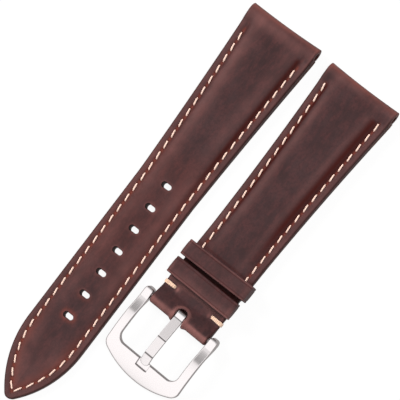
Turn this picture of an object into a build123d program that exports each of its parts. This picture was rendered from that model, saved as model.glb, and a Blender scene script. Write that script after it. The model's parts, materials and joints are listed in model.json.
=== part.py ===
from build123d import *
import math
import os

# Padded leather watch strap: a long tail half and a short buckle half that lie side by side.
# Each half is drawn in its own frame, with the lug end at y = 0, the strap running towards -Y,
# x across it and its underside at z = 0. A place along a half is its distance from the lug end.
# Lengths are in millimetres and angles in degrees.

# Leather layers and the lug end, the same on both halves
lug_width = 21.8
lug_bore_radius = 1.0
lug_wall = 1.2
lug_ramp_length = 1.9
lug_edge_height = 3.4
lining_leather = 0.8
lining_setback = 1.0
upper_leather = 1.1
thin_filler = 0.2
turned_end_length = 6.5
turned_end_leather = 0.6
edge_taper_end = 50.0

# Padded crown over the middle of each half
crown_margin = 2.6
crown_flank = 2.4
crown_rise = 1.2
crown_side_inset = 0.5
flank_of_half_share = 0.45
shoulder_share = 0.8
bulge_along_share = 0.36
bulge_up_share = 0.56

# Sewing
stitch_inset = 2.0
stitch_pitch = 3.4
stitch_length = 2.3
stitch_slant = 8.0
stitch_start = 6.2
stitch_end_gap = 0.5
thread_width = 0.5
thread_height = 0.22
thread_crest_share = 0.5
groove_width = 0.9
groove_depth = 0.3
groove_lead = 2.0

# Tail half
tail_length = 121.2
tail_width = 17.6
tail_taper_end = 52.6
tail_taper_bow = 0.18
tip_length = 21.2
tip_round = 1.8
hole_count = 7
hole_pitch = 7.0
hole_across = 2.7
hole_along = 1.9
last_hole_to_tip = 27.3
tail_place_shares = [0.0, 0.045, 0.12, 0.22, 0.34, 0.46, 0.6, 0.78, 1.0]
tail_rise_shares = [0.05, 0.9, 1.0, 1.0, 0.86, 0.62, 0.42, 0.28, 0.25]
tip_place_shares = [0.3, 0.58, 0.8, 0.95]
tip_rise_shares = [0.25, 0.24, 0.2, 0.1]

# Buckle half
bar_distance = 75.4
buckle_end_width = 18.3
buckle_taper_end = 52.0
buckle_taper_bow = 0.32
fold_leather = 1.05
fold_neck_length = 3.8
flap_lap = 0.8
crown_to_keeper = 2.0
buckle_place_shares = [0.0, 0.065, 0.18, 0.34, 0.52, 0.7, 0.86, 1.0]
buckle_rise_shares = [0.05, 0.9, 1.0, 1.0, 0.94, 0.78, 0.5, 0.1]

# Keepers
keeper_leather = 0.9
keeper_corner = 1.4
floating_keeper_start = 58.0
floating_keeper_band = 4.6
keeper_gap = 0.9
fixed_keeper_band = 4.8
fixed_keeper_skive = 0.5
keeper_side_room = 0.2
keeper_under_room = 0.25
keeper_passage_room = 0.15
keeper_bump_ramp = 1.2

# Tack stitches that close the fold
tack_distance = 70.4
tack_band = 1.1
tack_reach = 3.1
tack_thread = 0.3

# Spring bar
bar_radius = 0.75
bar_bore_radius = 0.52
bar_room = 0.05
pin_room = 0.04
pin_engaged = 2.6
pin_travel = 1.1
pin_flange = 0.3
pin_flange_gap = 0.225
pin_tip_radius = 0.4
pin_tip_room = 0.05
pin_tip_reach = 1.0
spring_pitch = 1.15
spring_wire = 0.14
spring_wire_sides = 6
spring_room = 0.04
spring_end_room = 0.05

# Buckle frame, measured forward of the bar's axis and up from it
frame_side_room = 0.375
opening_length = 14.5
arm_width = 2.5
boss_radius = 1.5
boss_hole_depth = 1.3
front_bar_middle = 5.8
front_corner_distance = 16.8
front_corner_round = 2.0
inner_corner_round = 2.3
arm_slope_start = 2.6
arm_slope_end = 5.8
arm_slope_sag = 0.35
plate_top = 3.0
plate_thickness = 1.7
plate_crest = 0.35
front_drop = 1.4
frame_edge_bevel = 0.35
upward_share = 0.6
notch_width = 3.5
notch_length = 2.2
notch_depth = 0.5

# Buckle tongue
tongue_width = 2.6
tongue_thickness = 0.9
tongue_lap = 1.2
tongue_first_bend = 7.2
tongue_nose_length = 3.0
tongue_first_rise = 1.75
tongue_second_rise = 2.6
tongue_tip_round = 1.1
tongue_tip_thickness = 0.55
tongue_side_room = 0.2
tongue_seat_room = 0.03
slot_room = 0.25
slot_rim_width = 1.1
slot_rim_height = 0.35

# How the halves lie
tail_turn = 1.5
tail_lead = 0.4
halves_apart = 26.2
floor_room = 0.01
overrun = 2.0

lug_roll = lug_bore_radius + lug_wall
lug_square = 2 * lug_roll
blank_width = max(lug_width, buckle_end_width)
ramp_end = lug_square + lug_ramp_length
strap_thickness = lining_leather + thin_filler + upper_leather
tip_start = tail_length - tip_length
first_hole = tail_length - last_hole_to_tip - (hole_count - 1) * hole_pitch
fold_radius = bar_radius + bar_room + fold_leather
neck_height = lining_leather + upper_leather
neck_start = bar_distance - fold_neck_length
fixed_keeper_start = floating_keeper_start + floating_keeper_band + keeper_gap
fixed_keeper_end = fixed_keeper_start + fixed_keeper_band
flap_start = fixed_keeper_start - flap_lap
bump_height = lining_leather + fixed_keeper_skive + upper_leather
buckle_crown_end = floating_keeper_start + crown_to_keeper
tail_passage = strap_thickness + crown_rise * tail_rise_shares[-1] + keeper_passage_room
opening_width = buckle_end_width + 2 * frame_side_room
bar_half = opening_width / 2 - pin_flange_gap - pin_flange - pin_travel
eye_radius = bar_radius + bar_room + tongue_thickness
slot_half = tongue_width / 2 + tongue_side_room
slot_back = bar_distance - max(fold_radius, eye_radius) - slot_room
notch_floor = plate_top - notch_depth
tongue_reach = opening_length + tongue_lap
tongue_second_bend = tongue_reach - tongue_nose_length
frame_front = opening_length + front_bar_middle


def tangent_point(centre, radius, point, turn):
    # Where the line from a point touches a circle, on the side that the sign of turn picks.
    along, up = point[0] - centre[0], point[1] - centre[1]
    angle = math.atan2(up, along) + turn * math.acos(radius / math.hypot(along, up))
    return centre[0] + radius * math.cos(angle), centre[1] + radius * math.sin(angle)


def height_on(line, along):
    # The height of a side line, given by its corners, at a distance from the lug end.
    for (start, low), (end, high) in zip(line, line[1:]):
        if along <= end:
            return low + (high - low) * (along - start) / (end - start)
    return line[-1][1]


def side_solid(corners, width):
    # A side view with corners at (distance, height), carried across the strap.
    outline = Polyline(*[(-along, up) for along, up in corners], close=True)
    return extrude(Plane.YZ * make_face(outline), amount=width / 2, both=True)


def cross_rod(along, up, radius, width):
    # A round rod that lies across the strap.
    return extrude(Plane.YZ * Pos(-along, up) * Circle(radius), amount=width / 2, both=True)


def band_box(width, start, end, low, high):
    # A block across the strap, between two distances and two heights.
    block = Box(width, end - start, high - low)
    return Pos(0, -(start + end) / 2, (low + high) / 2) * block


class Outline:
    # The plan of one half: parallel at the lug, a bowed taper, parallel again, and any pointed tip.

    def __init__(self, end_width, taper_end, bow, length, tip=0):
        self.half_lug = lug_width / 2
        self.half_end = end_width / 2
        self.taper_end = taper_end
        self.bow = bow
        self.length = length
        self.tip_start = length - tip
        self.tip_radius = (tip ** 2 + self.half_end ** 2) / (2 * self.half_end) if tip else 0

    def point_at(self, inset):
        # Where lines inset from both edges meet on the middle line.
        reach = (self.tip_radius - inset) ** 2 - (self.tip_radius - self.half_end) ** 2
        return self.tip_start + math.sqrt(reach)

    def half_width(self, along, inset):
        share = (along - lug_square) / (self.taper_end - lug_square)
        share = min(max(share, 0), 1)
        straight = self.half_lug + (self.half_end - self.half_lug) * share
        half = straight - self.bow * 4 * share * (1 - share)
        if self.tip_radius and along > self.tip_start:
            radius = self.tip_radius - inset
            across = math.sqrt(radius ** 2 - (along - self.tip_start) ** 2)
            return self.half_end - self.tip_radius + across
        return half - inset

    def side_edges(self, inset, start):
        # The right-hand edge, from the lug end to the far end or the point.
        middle_at = (lug_square + self.taper_end) / 2
        square = (self.half_lug - inset, -lug_square)
        middle = (self.half_width(middle_at, inset), -middle_at)
        tapered = (self.half_end - inset, -self.taper_end)
        straight = (self.half_end - inset, -self.tip_start)
        edges = [
            Line((self.half_lug - inset, -start), square),
            ThreePointArc(square, middle, tapered),
            Line(tapered, straight),
        ]
        if self.tip_radius:
            radius = self.tip_radius - inset
            centre = self.half_end - self.tip_radius
            half_turn = math.acos(-centre / radius) / 2
            between = (centre + radius * math.cos(half_turn), -self.tip_start - radius * math.sin(half_turn))
            edges.append(ThreePointArc(straight, between, (0, -self.point_at(inset))))
        return edges

    def face(self, inset=0, start=0):
        right = self.side_edges(inset, start)
        left = [edge.mirror(Plane.YZ) for edge in right]
        half_start = self.half_lug - inset
        ends = [Line((-half_start, -start), (half_start, -start))]
        if not self.tip_radius:
            half_far = self.half_end - inset
            ends.append(Line((-half_far, -self.length), (half_far, -self.length)))
        flat = make_face(right + left + ends)
        if self.tip_radius and not inset:
            flat = fillet(flat.vertices().sort_by(Axis.Y)[0], tip_round)
        return flat


def crown_section(outline, along, base, foot, rise, inset):
    # The padded crown cut across: soft flanks that rise to a gently bowed top.
    half = outline.half_width(along, inset)
    flank = min(crown_flank, half * flank_of_half_share)
    shoulder = foot + rise * shoulder_share
    bulge_in = flank * bulge_along_share
    bulge_up = foot + rise * bulge_up_share
    edges = [
        Line((-half, base), (-half, foot)),
        ThreePointArc((-half, foot), (bulge_in - half, bulge_up), (flank - half, shoulder)),
        ThreePointArc((flank - half, shoulder), (0, foot + rise), (half - flank, shoulder)),
        ThreePointArc((half - flank, shoulder), (half - bulge_in, bulge_up), (half, foot)),
        Line((half, foot), (half, base)),
        Line((half, base), (-half, base)),
    ]
    return Plane.XZ.offset(along) * make_face(edges)


def crown(outline, stations, line, drop, inset, start):
    # The crown as a loft through its stations, each a distance and a rise over the margin.
    kept = [station for station in stations if station[0] > start]
    rise_at_start = height_on(stations, start)
    sections = []
    for along, rise in [(start, rise_at_start)] + kept:
        foot = height_on(line, along) - drop
        sections.append(crown_section(outline, along, lining_leather, foot, rise, crown_margin + inset))
    return loft(sections, ruled=True)


def lug_line():
    # The margin's top from the lug roll down its ramp, as corners of (distance, height).
    ramp_foot = (ramp_end, lug_edge_height)
    return [tangent_point((lug_roll, lug_roll), lug_roll, ramp_foot, 1), ramp_foot]


def filler_solid(outline, line, stations, end):
    # Filler under the upper: a wedge over the whole width, with the crown on top of it.
    start = lug_square + thin_filler
    inner = [along for along, _ in line if start < along < end]
    top = [(along, height_on(line, along) - upper_leather) for along in [start] + inner + [end]]
    wedge = side_solid([(start, lining_leather)] + top + [(end, lining_leather)], blank_width)
    wedge &= extrude(outline.face(), amount=lug_square)
    body = wedge + crown(outline, stations, line, upper_leather, crown_side_inset, start)
    tab_top = lining_leather + turned_end_leather
    return body - band_box(blank_width, 0, lug_square + turned_end_length, 0, tab_top)


def hole_cutters():
    cutters = []
    for index in range(hole_count):
        slot = Pos(0, -(first_hole + index * hole_pitch)) * SlotOverall(hole_across, hole_along)
        cutters.append(extrude(slot, amount=lug_square))
    return cutters


def lining_solid(outline):
    # The lining, its front edge hollowed to the lug roll, with a groove for the thread.
    sheet = extrude(outline.face(start=lug_roll + lining_setback), amount=lining_leather)
    half_groove = groove_width / 2
    ring = outline.face(stitch_inset - half_groove) - outline.face(stitch_inset + half_groove)
    groove = extrude(ring, amount=groove_depth)
    groove -= band_box(lug_width, -overrun, stitch_start - groove_lead, -overrun, overrun)
    return sheet - cross_rod(lug_roll, lug_roll, lug_roll, lug_width + overrun) - groove


def stitch_places(outline, end):
    # Middles of the stitches with their directions, evenly spaced back from the end on both sides.
    path = Wire(outline.side_edges(stitch_inset, 0))
    last = path.length - stitch_length / 2 - stitch_end_gap - (outline.length - end)
    places = []
    for index in range(int((last - stitch_start) / stitch_pitch) + 1):
        at = last - index * stitch_pitch
        middle = path.position_at(at, PositionMode.LENGTH)
        ahead = path.tangent_at(at, PositionMode.LENGTH)
        places += [(middle.X, middle.Y, ahead.X, ahead.Y), (-middle.X, middle.Y, -ahead.X, ahead.Y)]
    return places


def needle_thread(outline, line, end):
    # The stitches seen on top: short bars that lie on the margin's slope.
    crest = thread_width * thread_crest_share / 2
    edge = thread_width / 2
    profile = Polyline((-edge, 0), (edge, 0), (crest, thread_height), (-crest, thread_height), close=True)
    bar = extrude(Plane.YZ * make_face(profile), amount=stitch_length / 2, both=True)
    bars = []
    for x, y, across, along in stitch_places(outline, end):
        ahead = Vector(across, along, 0).rotate(Axis.Z, stitch_slant)
        reach = stitch_length / 2
        back = height_on(line, -(y - ahead.Y * reach))
        front = height_on(line, -(y + ahead.Y * reach))
        slope = Vector(ahead.X, ahead.Y, (front - back) / stitch_length)
        side = Vector(-ahead.Y, ahead.X, 0)
        lie = Plane(Vector(x, y, (front + back) / 2), x_dir=slope, z_dir=slope.cross(side))
        bars.append(lie.location * bar)
    return Compound(bars)


def bobbin_thread(outline, end):
    # The stitches seen underneath: bars that fill the bottom of the lining's groove.
    bar = Pos(0, 0, groove_depth - thread_height / 2) * Box(stitch_length, thread_width, thread_height)
    bars = []
    for x, y, across, along in stitch_places(outline, end):
        turn = math.degrees(math.atan2(along, across)) - stitch_slant
        bars.append(Pos(x, y, 0) * Rot(0, 0, turn) * bar)
    return Compound(bars)


def tail_half():
    outline = Outline(tail_width, tail_taper_end, tail_taper_bow, tail_length, tip_length)
    line = lug_line() + [(edge_taper_end, strap_thickness), (tail_length + overrun, strap_thickness)]
    body = tip_start - lug_roll
    point = outline.point_at(crown_margin + crown_side_inset) - tip_start
    stations = [(lug_roll + body * place, crown_rise * rise)
                for place, rise in zip(tail_place_shares, tail_rise_shares)]
    stations += [(tip_start + point * place, crown_rise * rise)
                 for place, rise in zip(tip_place_shares, tip_rise_shares)]

    corners = [(lug_roll, lining_leather), (lug_roll, lug_roll)] + line
    corners += [(tail_length + overrun, lining_leather)]
    shell = side_solid(corners, lug_width) & extrude(outline.face(), amount=lug_square)
    shell += crown(outline, stations, line, 0, 0, lug_roll)
    shell += cross_rod(lug_roll, lug_roll, lug_roll, lug_width)
    filler = filler_solid(outline, line, stations, tail_length)
    lining = lining_solid(outline)
    shell -= filler
    shell -= cross_rod(lug_roll, lug_roll, lug_bore_radius, lug_width + overrun)
    holes = hole_cutters()
    return {
        "tail_upper": shell - holes,
        "tail_filler": filler - holes,
        "tail_lining": lining - holes,
        "tail_needle_thread": needle_thread(outline, line, tail_length),
        "tail_bobbin_thread": bobbin_thread(outline, tail_length),
    }


def neck_corners(extra):
    # The side view of the leather that closes on the bar, thicker by extra on its rounded end.
    centre = (bar_distance, fold_radius)
    start = (neck_start, neck_height + extra)
    return [start, tangent_point(centre, fold_radius + extra, start, -1), centre]


def slot_rim():
    # The raised lip around the tongue's slot, on the top of the fold.
    extra = slot_rim_height
    raised = side_solid(neck_corners(extra) + [(neck_start, fold_radius)], lug_width)
    raised += cross_rod(bar_distance, fold_radius, fold_radius + extra, lug_width)
    outer = slot_half + slot_rim_width
    front = bar_distance + fold_radius + extra
    round_at = slot_back + slot_half
    plan = Pos(0, -round_at) * Circle(outer)
    plan += Pos(0, -(round_at + front) / 2) * Rectangle(2 * outer, front - round_at)
    tall = extrude(Plane.XY.offset(neck_height) * plan, amount=lug_square)
    return raised & tall


def buckle_half():
    outline = Outline(buckle_end_width, buckle_taper_end, buckle_taper_bow, bar_distance)
    back_outline = Outline(buckle_end_width, buckle_taper_end, buckle_taper_bow, flap_start)
    line = lug_line() + [
        (edge_taper_end, strap_thickness),
        (fixed_keeper_start - keeper_gap, strap_thickness),
        (fixed_keeper_start, bump_height),
        (fixed_keeper_end, bump_height),
        (fixed_keeper_end + keeper_bump_ramp, neck_height),
    ]
    body = buckle_crown_end - lug_roll
    stations = [(lug_roll + body * place, crown_rise * rise)
                for place, rise in zip(buckle_place_shares, buckle_rise_shares)]

    corners = [(lug_roll, lining_leather), (lug_roll, lug_roll)] + line + neck_corners(0)
    corners += [(bar_distance, 0), (flap_start, 0), (flap_start, lining_leather)]
    shell = side_solid(corners, blank_width) & extrude(outline.face(), amount=lug_square)
    shell += crown(outline, stations, line, 0, 0, lug_roll)
    shell += cross_rod(lug_roll, lug_roll, lug_roll, lug_width)
    shell += cross_rod(bar_distance, fold_radius, fold_radius, buckle_end_width)
    shell += slot_rim()
    filler = filler_solid(outline, line, stations, buckle_crown_end)
    pocket_top = lining_leather + fixed_keeper_skive
    shell -= filler
    shell -= band_box(blank_width, fixed_keeper_start, fixed_keeper_end, lining_leather, pocket_top)
    shell -= cross_rod(lug_roll, lug_roll, lug_bore_radius, lug_width + overrun)
    shell -= cross_rod(bar_distance, fold_radius, bar_radius + bar_room, blank_width + overrun)
    slot_front = bar_distance + fold_radius + overrun
    shell -= band_box(2 * slot_half, slot_back, slot_front, -overrun, lug_square + overrun)
    return {
        "buckle_upper": shell,
        "buckle_filler": filler,
        "buckle_lining": lining_solid(back_outline),
        "buckle_needle_thread": needle_thread(outline, line, flap_start),
        "buckle_bobbin_thread": bobbin_thread(back_outline, flap_start),
        "fixed_keeper": keeper_ring(fixed_keeper_start, fixed_keeper_band, buckle_end_width / 2,
                                    pocket_top, fixed_keeper_skive, bump_height + tail_passage),
        "floating_keeper": keeper_ring(floating_keeper_start, floating_keeper_band,
                                       buckle_end_width / 2 + keeper_side_room, -keeper_under_room,
                                       keeper_leather, strap_thickness + tail_passage),
        "tack_stitch_left": tack_stitch(-1),
        "tack_stitch_right": tack_stitch(1),
    }


def keeper_ring(start, band, inner_half, inner_low, under_leather, inner_high):
    # A closed loop of leather around the strap, with soft corners.
    low, high = inner_low - under_leather, inner_high + keeper_leather
    outer = Pos(0, (low + high) / 2)
    outer *= RectangleRounded(2 * (inner_half + keeper_leather), high - low, keeper_corner)
    inner = Pos(0, (inner_low + inner_high) / 2)
    inner *= RectangleRounded(2 * inner_half, inner_high - inner_low, keeper_corner - keeper_leather)
    inner += Pos(0, (3 * inner_low + inner_high) / 4) * Rectangle(2 * inner_half, (inner_high - inner_low) / 2)
    return extrude(Plane.XZ.offset(start) * (outer - inner), amount=band)


def tack_stitch(side):
    # Thread wound tight around the edge of the strap, just behind the bar.
    edge, inside = buckle_end_width / 2, buckle_end_width / 2 - tack_reach
    outside = edge + tack_thread
    corners = [(inside, neck_height), (edge, neck_height), (edge, 0), (inside, 0),
               (inside, -tack_thread), (outside, -tack_thread), (outside, neck_height + tack_thread),
               (inside, neck_height + tack_thread)]
    hook = Polyline(*[(side * across, up) for across, up in corners], close=True)
    return extrude(Plane.XZ.offset(tack_distance - tack_band / 2) * make_face(hook), amount=tack_band)


def rim_edges(solid):
    # The edges that go round the frame's top, without those between two of its upward faces.
    upward = [face for face in solid.faces() if face.normal_at().Z > upward_share]
    edges = [edge for face in upward for edge in face.edges()]
    return [edge for edge in edges if edges.count(edge) == 1 and edge.center().Y < -boss_radius / 2]


def frame_solid():
    # The steel frame: its plan and its arched side view, cut out of each other, with bevelled rims.
    half = opening_width / 2
    outer_half = half + arm_width
    back = boss_radius
    sides = Polyline((-outer_half, -front_corner_distance), (-outer_half, back), (outer_half, back),
                     (outer_half, -front_corner_distance))
    front = ThreePointArc((-outer_half, -front_corner_distance), (0, -frame_front),
                          (outer_half, -front_corner_distance))
    plan = make_face([sides, front])
    plan = fillet(plan.vertices().group_by(Axis.Y)[0], front_corner_round)
    opening = Pos(0, (overrun + back - opening_length) / 2)
    opening *= Rectangle(opening_width, opening_length + back + overrun)
    opening = fillet(opening.vertices().group_by(Axis.Y)[0], inner_corner_round)
    plan -= opening
    tall = plate_top + plate_crest + overrun
    solid = extrude(Plane.XY.offset(-tall) * plan, amount=2 * tall)

    under_slope = (arm_slope_end, plate_top - plate_thickness)
    boss_under = tangent_point((0, 0), boss_radius, under_slope, -1)
    crest_at = (arm_slope_end + frame_front) / 2
    slope_at = (arm_slope_start + arm_slope_end) / 2
    slope_up = (boss_radius + plate_top) / 2 - arm_slope_sag
    top_front = plate_top - front_drop
    under = plate_thickness
    side = [
        Line((0, 0), (0, boss_radius)),
        Line((0, boss_radius), (-arm_slope_start, boss_radius)),
        ThreePointArc((-arm_slope_start, boss_radius), (-slope_at, slope_up), (-arm_slope_end, plate_top)),
        ThreePointArc((-arm_slope_end, plate_top), (-crest_at, plate_top + plate_crest),
                      (-frame_front, top_front)),
        Line((-frame_front, top_front), (-frame_front, top_front - under)),
        ThreePointArc((-frame_front, top_front - under), (-crest_at, plate_top + plate_crest - under),
                      (-arm_slope_end, plate_top - under)),
        Line((-arm_slope_end, plate_top - under), (-boss_under[0], boss_under[1])),
        Line((-boss_under[0], boss_under[1]), (0, 0)),
    ]
    profile = make_face(side) + Circle(boss_radius)
    solid &= extrude(Plane.YZ * profile, amount=outer_half + overrun, both=True)
    solid = chamfer(rim_edges(solid), frame_edge_bevel)
    hole = cross_rod(0, 0, pin_tip_radius + pin_tip_room, opening_width + 2 * boss_hole_depth)
    solid -= hole
    notch_at = opening_length - overrun
    notch = band_box(notch_width, notch_at, opening_length + notch_length, notch_floor, tall)
    solid -= notch
    return solid


def tongue_solid():
    # A flat strip bent round the bar into an eye, arched over and down into the frame's notch.
    inner = bar_radius + bar_room
    tip_low = notch_floor + tongue_seat_room
    under = [(inner, inner), (tongue_first_bend, inner + tongue_first_rise),
             (tongue_second_bend, inner + tongue_second_rise), (tongue_reach, tip_low)]
    over = [(tongue_reach, tip_low + tongue_tip_thickness),
            (tongue_second_bend, inner + tongue_second_rise + tongue_thickness),
            (tongue_first_bend, inner + tongue_first_rise + tongue_thickness), (0, eye_radius), (0, inner)]
    strip = side_solid(under + over, tongue_width)
    tips = strip.edges().filter_by(Axis.Z).group_by(Axis.Y)[0]
    strip = fillet(tips, tongue_tip_round)
    return strip + cross_rod(0, 0, eye_radius, tongue_width) - cross_rod(0, 0, inner, tongue_width)


def bar_pin(side):
    # A stepped pin: a shank inside the tube, a flange to press on and a tip in the boss.
    shank_end = bar_half + pin_travel
    flange_end = shank_end + pin_flange
    tip_end = opening_width / 2 + pin_tip_reach
    steps = [(bar_half - pin_engaged, shank_end, bar_bore_radius - pin_room),
             (shank_end, flange_end, bar_radius), (flange_end, tip_end, pin_tip_radius)]
    solids = [Plane.YZ.offset(start) * extrude(Circle(radius), amount=end - start)
              for start, end, radius in steps]
    pin = solids[0] + solids[1] + solids[2]
    return pin if side > 0 else pin.mirror(Plane.YZ)


def spring_coil():
    # One unbroken wire, wound in half turns that meet in line, between the two shanks.
    reach = bar_half - pin_engaged - spring_end_room - spring_wire / 2
    half_turns = 2 * round(2 * reach / spring_pitch)
    step = 2 * reach / half_turns
    swing = bar_bore_radius - spring_room - spring_wire / 2
    radius = math.sqrt(swing ** 2 - (step / 2) ** 2)
    arcs, points = [], []
    for index in range(half_turns):
        side = 1 if index % 2 == 0 else -1
        start = (-reach + index * step, 0, side * radius)
        middle = (-reach + (index + 0.5) * step, side * swing, 0)
        end = (-reach + (index + 1) * step, 0, -side * radius)
        arc = ThreePointArc(start, middle, end)
        arcs.append(arc)
        points += [(index + share, arc @ share) for share in (0, 0.25, 0.5, 0.75)]
    gap = min((there - here).length for turn, here in points for other, there in points
              if other - turn > 1) - spring_wire
    print("least gap between the spring's turns", round(gap, 3))
    wire = Wire(arcs)
    section = RegularPolygon(spring_wire / 2, spring_wire_sides)
    return sweep(Plane(wire @ 0, z_dir=wire % 0) * section, path=wire)


def buckle_set():
    # Everything that turns with the frame, about the bar's axis at the origin.
    bar_outer = extrude(Plane.YZ * Circle(bar_radius), amount=bar_half, both=True)
    bar_bore = extrude(Plane.YZ * Circle(bar_bore_radius), amount=bar_half, both=True)
    return {
        "buckle_frame": frame_solid(),
        "buckle_tongue": tongue_solid(),
        "spring_bar_tube": bar_outer - bar_bore,
        "spring_bar_pin_left": bar_pin(-1),
        "spring_bar_pin_right": bar_pin(1),
        "spring_bar_spring": spring_coil(),
    }


def resting_tilt():
    # The buckle half leans on its lug roll and on the underside of the floating keeper.
    level = floating_keeper_start - lug_roll
    drop = keeper_under_room + keeper_leather + lug_roll
    lean = math.atan2(drop, level) - math.asin((lug_roll - floor_room) / math.hypot(level, drop))
    lift = lug_roll * (1 - math.cos(lean) - math.sin(lean))
    return math.degrees(lean), lift


def resting_droop(bar_height):
    # The frame hangs from the bar until the foot of its front edge meets the floor.
    foot = plate_top - front_drop - plate_thickness
    reach = math.hypot(frame_front, foot)
    return math.degrees(math.atan2(foot, frame_front) + math.asin((bar_height - floor_room) / reach))


def places():
    # Where each half, and the set on the bar, lies before the whole is centred.
    tilt, lift = resting_tilt()
    buckle_place = Pos(halves_apart / 2, 0, lift) * Rot(-tilt, 0, 0)
    bar_at = (buckle_place * Pos(0, -bar_distance, fold_radius)).position
    set_place = Pos(bar_at) * Rot(resting_droop(bar_at.Z), 0, 0)
    tail_place = Pos(-halves_apart / 2, tail_lead, 0) * Rot(0, 0, tail_turn)
    return tail_place, buckle_place, set_place


def build():
    tail_place, buckle_place, set_place = places()
    nodes = {name: tail_place * shape for name, shape in tail_half().items()}
    nodes.update({name: buckle_place * shape for name, shape in buckle_half().items()})
    nodes.update({name: set_place * shape for name, shape in buckle_set().items()})
    boxes = [shape.bounding_box() for shape in nodes.values()]
    middle_x = (min(box.min.X for box in boxes) + max(box.max.X for box in boxes)) / 2
    middle_y = (min(box.min.Y for box in boxes) + max(box.max.Y for box in boxes)) / 2
    centring = Pos(-middle_x, -middle_y, -min(box.min.Z for box in boxes))
    return {name: centring * shape for name, shape in nodes.items()}, centring


nodes, centring = build()
os.makedirs("parts", exist_ok=True)
for name, shape in nodes.items():
    export_step(shape, f"parts/{name}.step")
    print(name, len(shape.solids()), round(shape.volume, 2))
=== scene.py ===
import bpy
import bmesh
import json
import math
import numpy as np
from mathutils import Matrix, Vector


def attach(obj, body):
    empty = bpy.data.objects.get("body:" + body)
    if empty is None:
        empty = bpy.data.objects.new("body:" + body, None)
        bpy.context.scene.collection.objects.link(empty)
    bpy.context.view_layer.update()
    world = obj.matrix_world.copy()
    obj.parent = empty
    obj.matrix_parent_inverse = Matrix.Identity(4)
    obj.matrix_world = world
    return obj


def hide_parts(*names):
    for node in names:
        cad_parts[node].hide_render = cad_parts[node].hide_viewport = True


# Padded leather watch strap in two halves with a steel tang buckle.
# Shapes are in millimetres along each half: x across it, t from its lug end, z up from its underside.

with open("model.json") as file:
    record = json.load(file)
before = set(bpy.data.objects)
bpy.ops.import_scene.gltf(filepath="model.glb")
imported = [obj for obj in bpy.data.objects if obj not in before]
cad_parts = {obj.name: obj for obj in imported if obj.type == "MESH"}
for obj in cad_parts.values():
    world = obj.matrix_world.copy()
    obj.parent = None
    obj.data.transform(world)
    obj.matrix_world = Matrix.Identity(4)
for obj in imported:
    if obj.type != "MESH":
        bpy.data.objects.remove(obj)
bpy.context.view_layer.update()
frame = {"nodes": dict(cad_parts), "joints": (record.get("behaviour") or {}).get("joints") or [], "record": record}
nodes = frame["nodes"]
print("frame loaded:", len(nodes), "nodes")


# Places taken from the frame

mountAt = {m["name"]: m for m in frame["record"]["mounts"]}
jointAt = {j["name"]: j for j in frame["joints"]}
mm = 0.001
lugRoll = 2.2


def unit(vector):
    vector = np.array(vector, float)
    return vector / np.linalg.norm(vector)


def halfFrame(boreName, alongAxis=None):
    # Origin and axes of one half. The bore lies one roll radius in from the lug end and one up.
    bore = mountAt[boreName]
    across = unit(bore["axis"])
    across = across if across[0] > 0 else -across
    back = unit(alongAxis if alongAxis is not None else np.cross([0, 0, 1], across))
    up = np.cross(across, back)
    origin = np.array(bore["pos_m"]) / mm + back * lugRoll - up * lugRoll
    return {"origin": origin, "across": across, "back": back, "up": up}


tailFrame = halfFrame("tail_lug_bore")
buckleFrame = halfFrame("buckle_lug_bore", jointAt["keeper_slide"]["axis"])


def turned(half, x, t, z, start=0.0):
    # A step of x across, t from the lug end and z up, in the world's axes.
    x, t, z = np.broadcast_arrays(x, t, z)
    return start + x[..., None] * half["across"] - t[..., None] * half["back"] + z[..., None] * half["up"]


def placed(half, x, t, z):
    # World metres of points at x across, t from the lug end and z up.
    return turned(half, x, t, z, half["origin"]) * mm


# Small numeric helpers

def smooth(value):
    # 3v^2 - 2v^3 between 0 and 1.
    value = np.clip(value, 0, 1)
    return value * value * (3 - 2 * value)


def rises(value, start, reach):
    # From 0 at start to 1 a reach later.
    return smooth((value - start) / reach)


def falls(value, end, reach):
    # From 1 a reach before end to 0 at end.
    return smooth((end - value) / reach)


def bell(value, middle, width):
    # exp(-((v - middle) / width)^2)
    return np.exp(-((value - middle) / width) ** 2)


def glow(value, mark):
    # A bell from a mark's strength, middle and width.
    return mark[0] * bell(value, *mark[1:])


def roundedOff(gap, radius):
    # How far a rounded edge has dropped at this distance inside it.
    return radius - np.sqrt(radius ** 2 - np.clip(radius - gap, 0, radius) ** 2)


def softened(values, spacing, reach):
    # A running Gaussian mean of evenly spaced values, with the ends held.
    half = int(3 * reach / spacing) + 1
    kernel = np.exp(-0.5 * (np.arange(-half, half + 1) * spacing / reach) ** 2)
    kernel /= kernel.sum()
    return np.convolve(np.pad(values, half, mode="edge"), kernel, mode="valid")


def waves(x, t, seed, sizes, count=7):
    # A sum of crossed sines of random direction, with wavelengths spread about the given sizes.
    draw = np.random.default_rng(seed)
    total = np.zeros(np.broadcast(x, t).shape)
    for size in sizes:
        for _ in range(count):
            angle, phase = draw.uniform(0, math.tau, 2)
            length = size * draw.uniform(0.7, 1.4)
            way = x * math.cos(angle) + t * math.sin(angle)
            total = total + size * np.sin(way * math.tau / length + phase)
    return total / (count * max(sizes))


def lengthAlong(line):
    # The running length at every point of a line.
    return np.concatenate([[0], np.cumsum(np.hypot(*np.diff(line, axis=0).T))])


def even(line, count):
    # The points of a line spaced evenly along it.
    line = np.array(line, float)
    length = lengthAlong(line)
    at = np.linspace(0, length[-1], count)
    return np.stack([np.interp(at, length, line[:, 0]), np.interp(at, length, line[:, 1])], 1)


def arcPoints(centre, radius, start, end, count=24):
    angle = np.radians(np.linspace(start, end, count))
    return np.stack([centre[0] + radius * np.cos(angle), centre[1] + radius * np.sin(angle)], 1)


def arcPoint(centre, radius, angle):
    return tuple(arcPoints(centre, radius, angle, angle, 1)[0])


# Meshes

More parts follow.
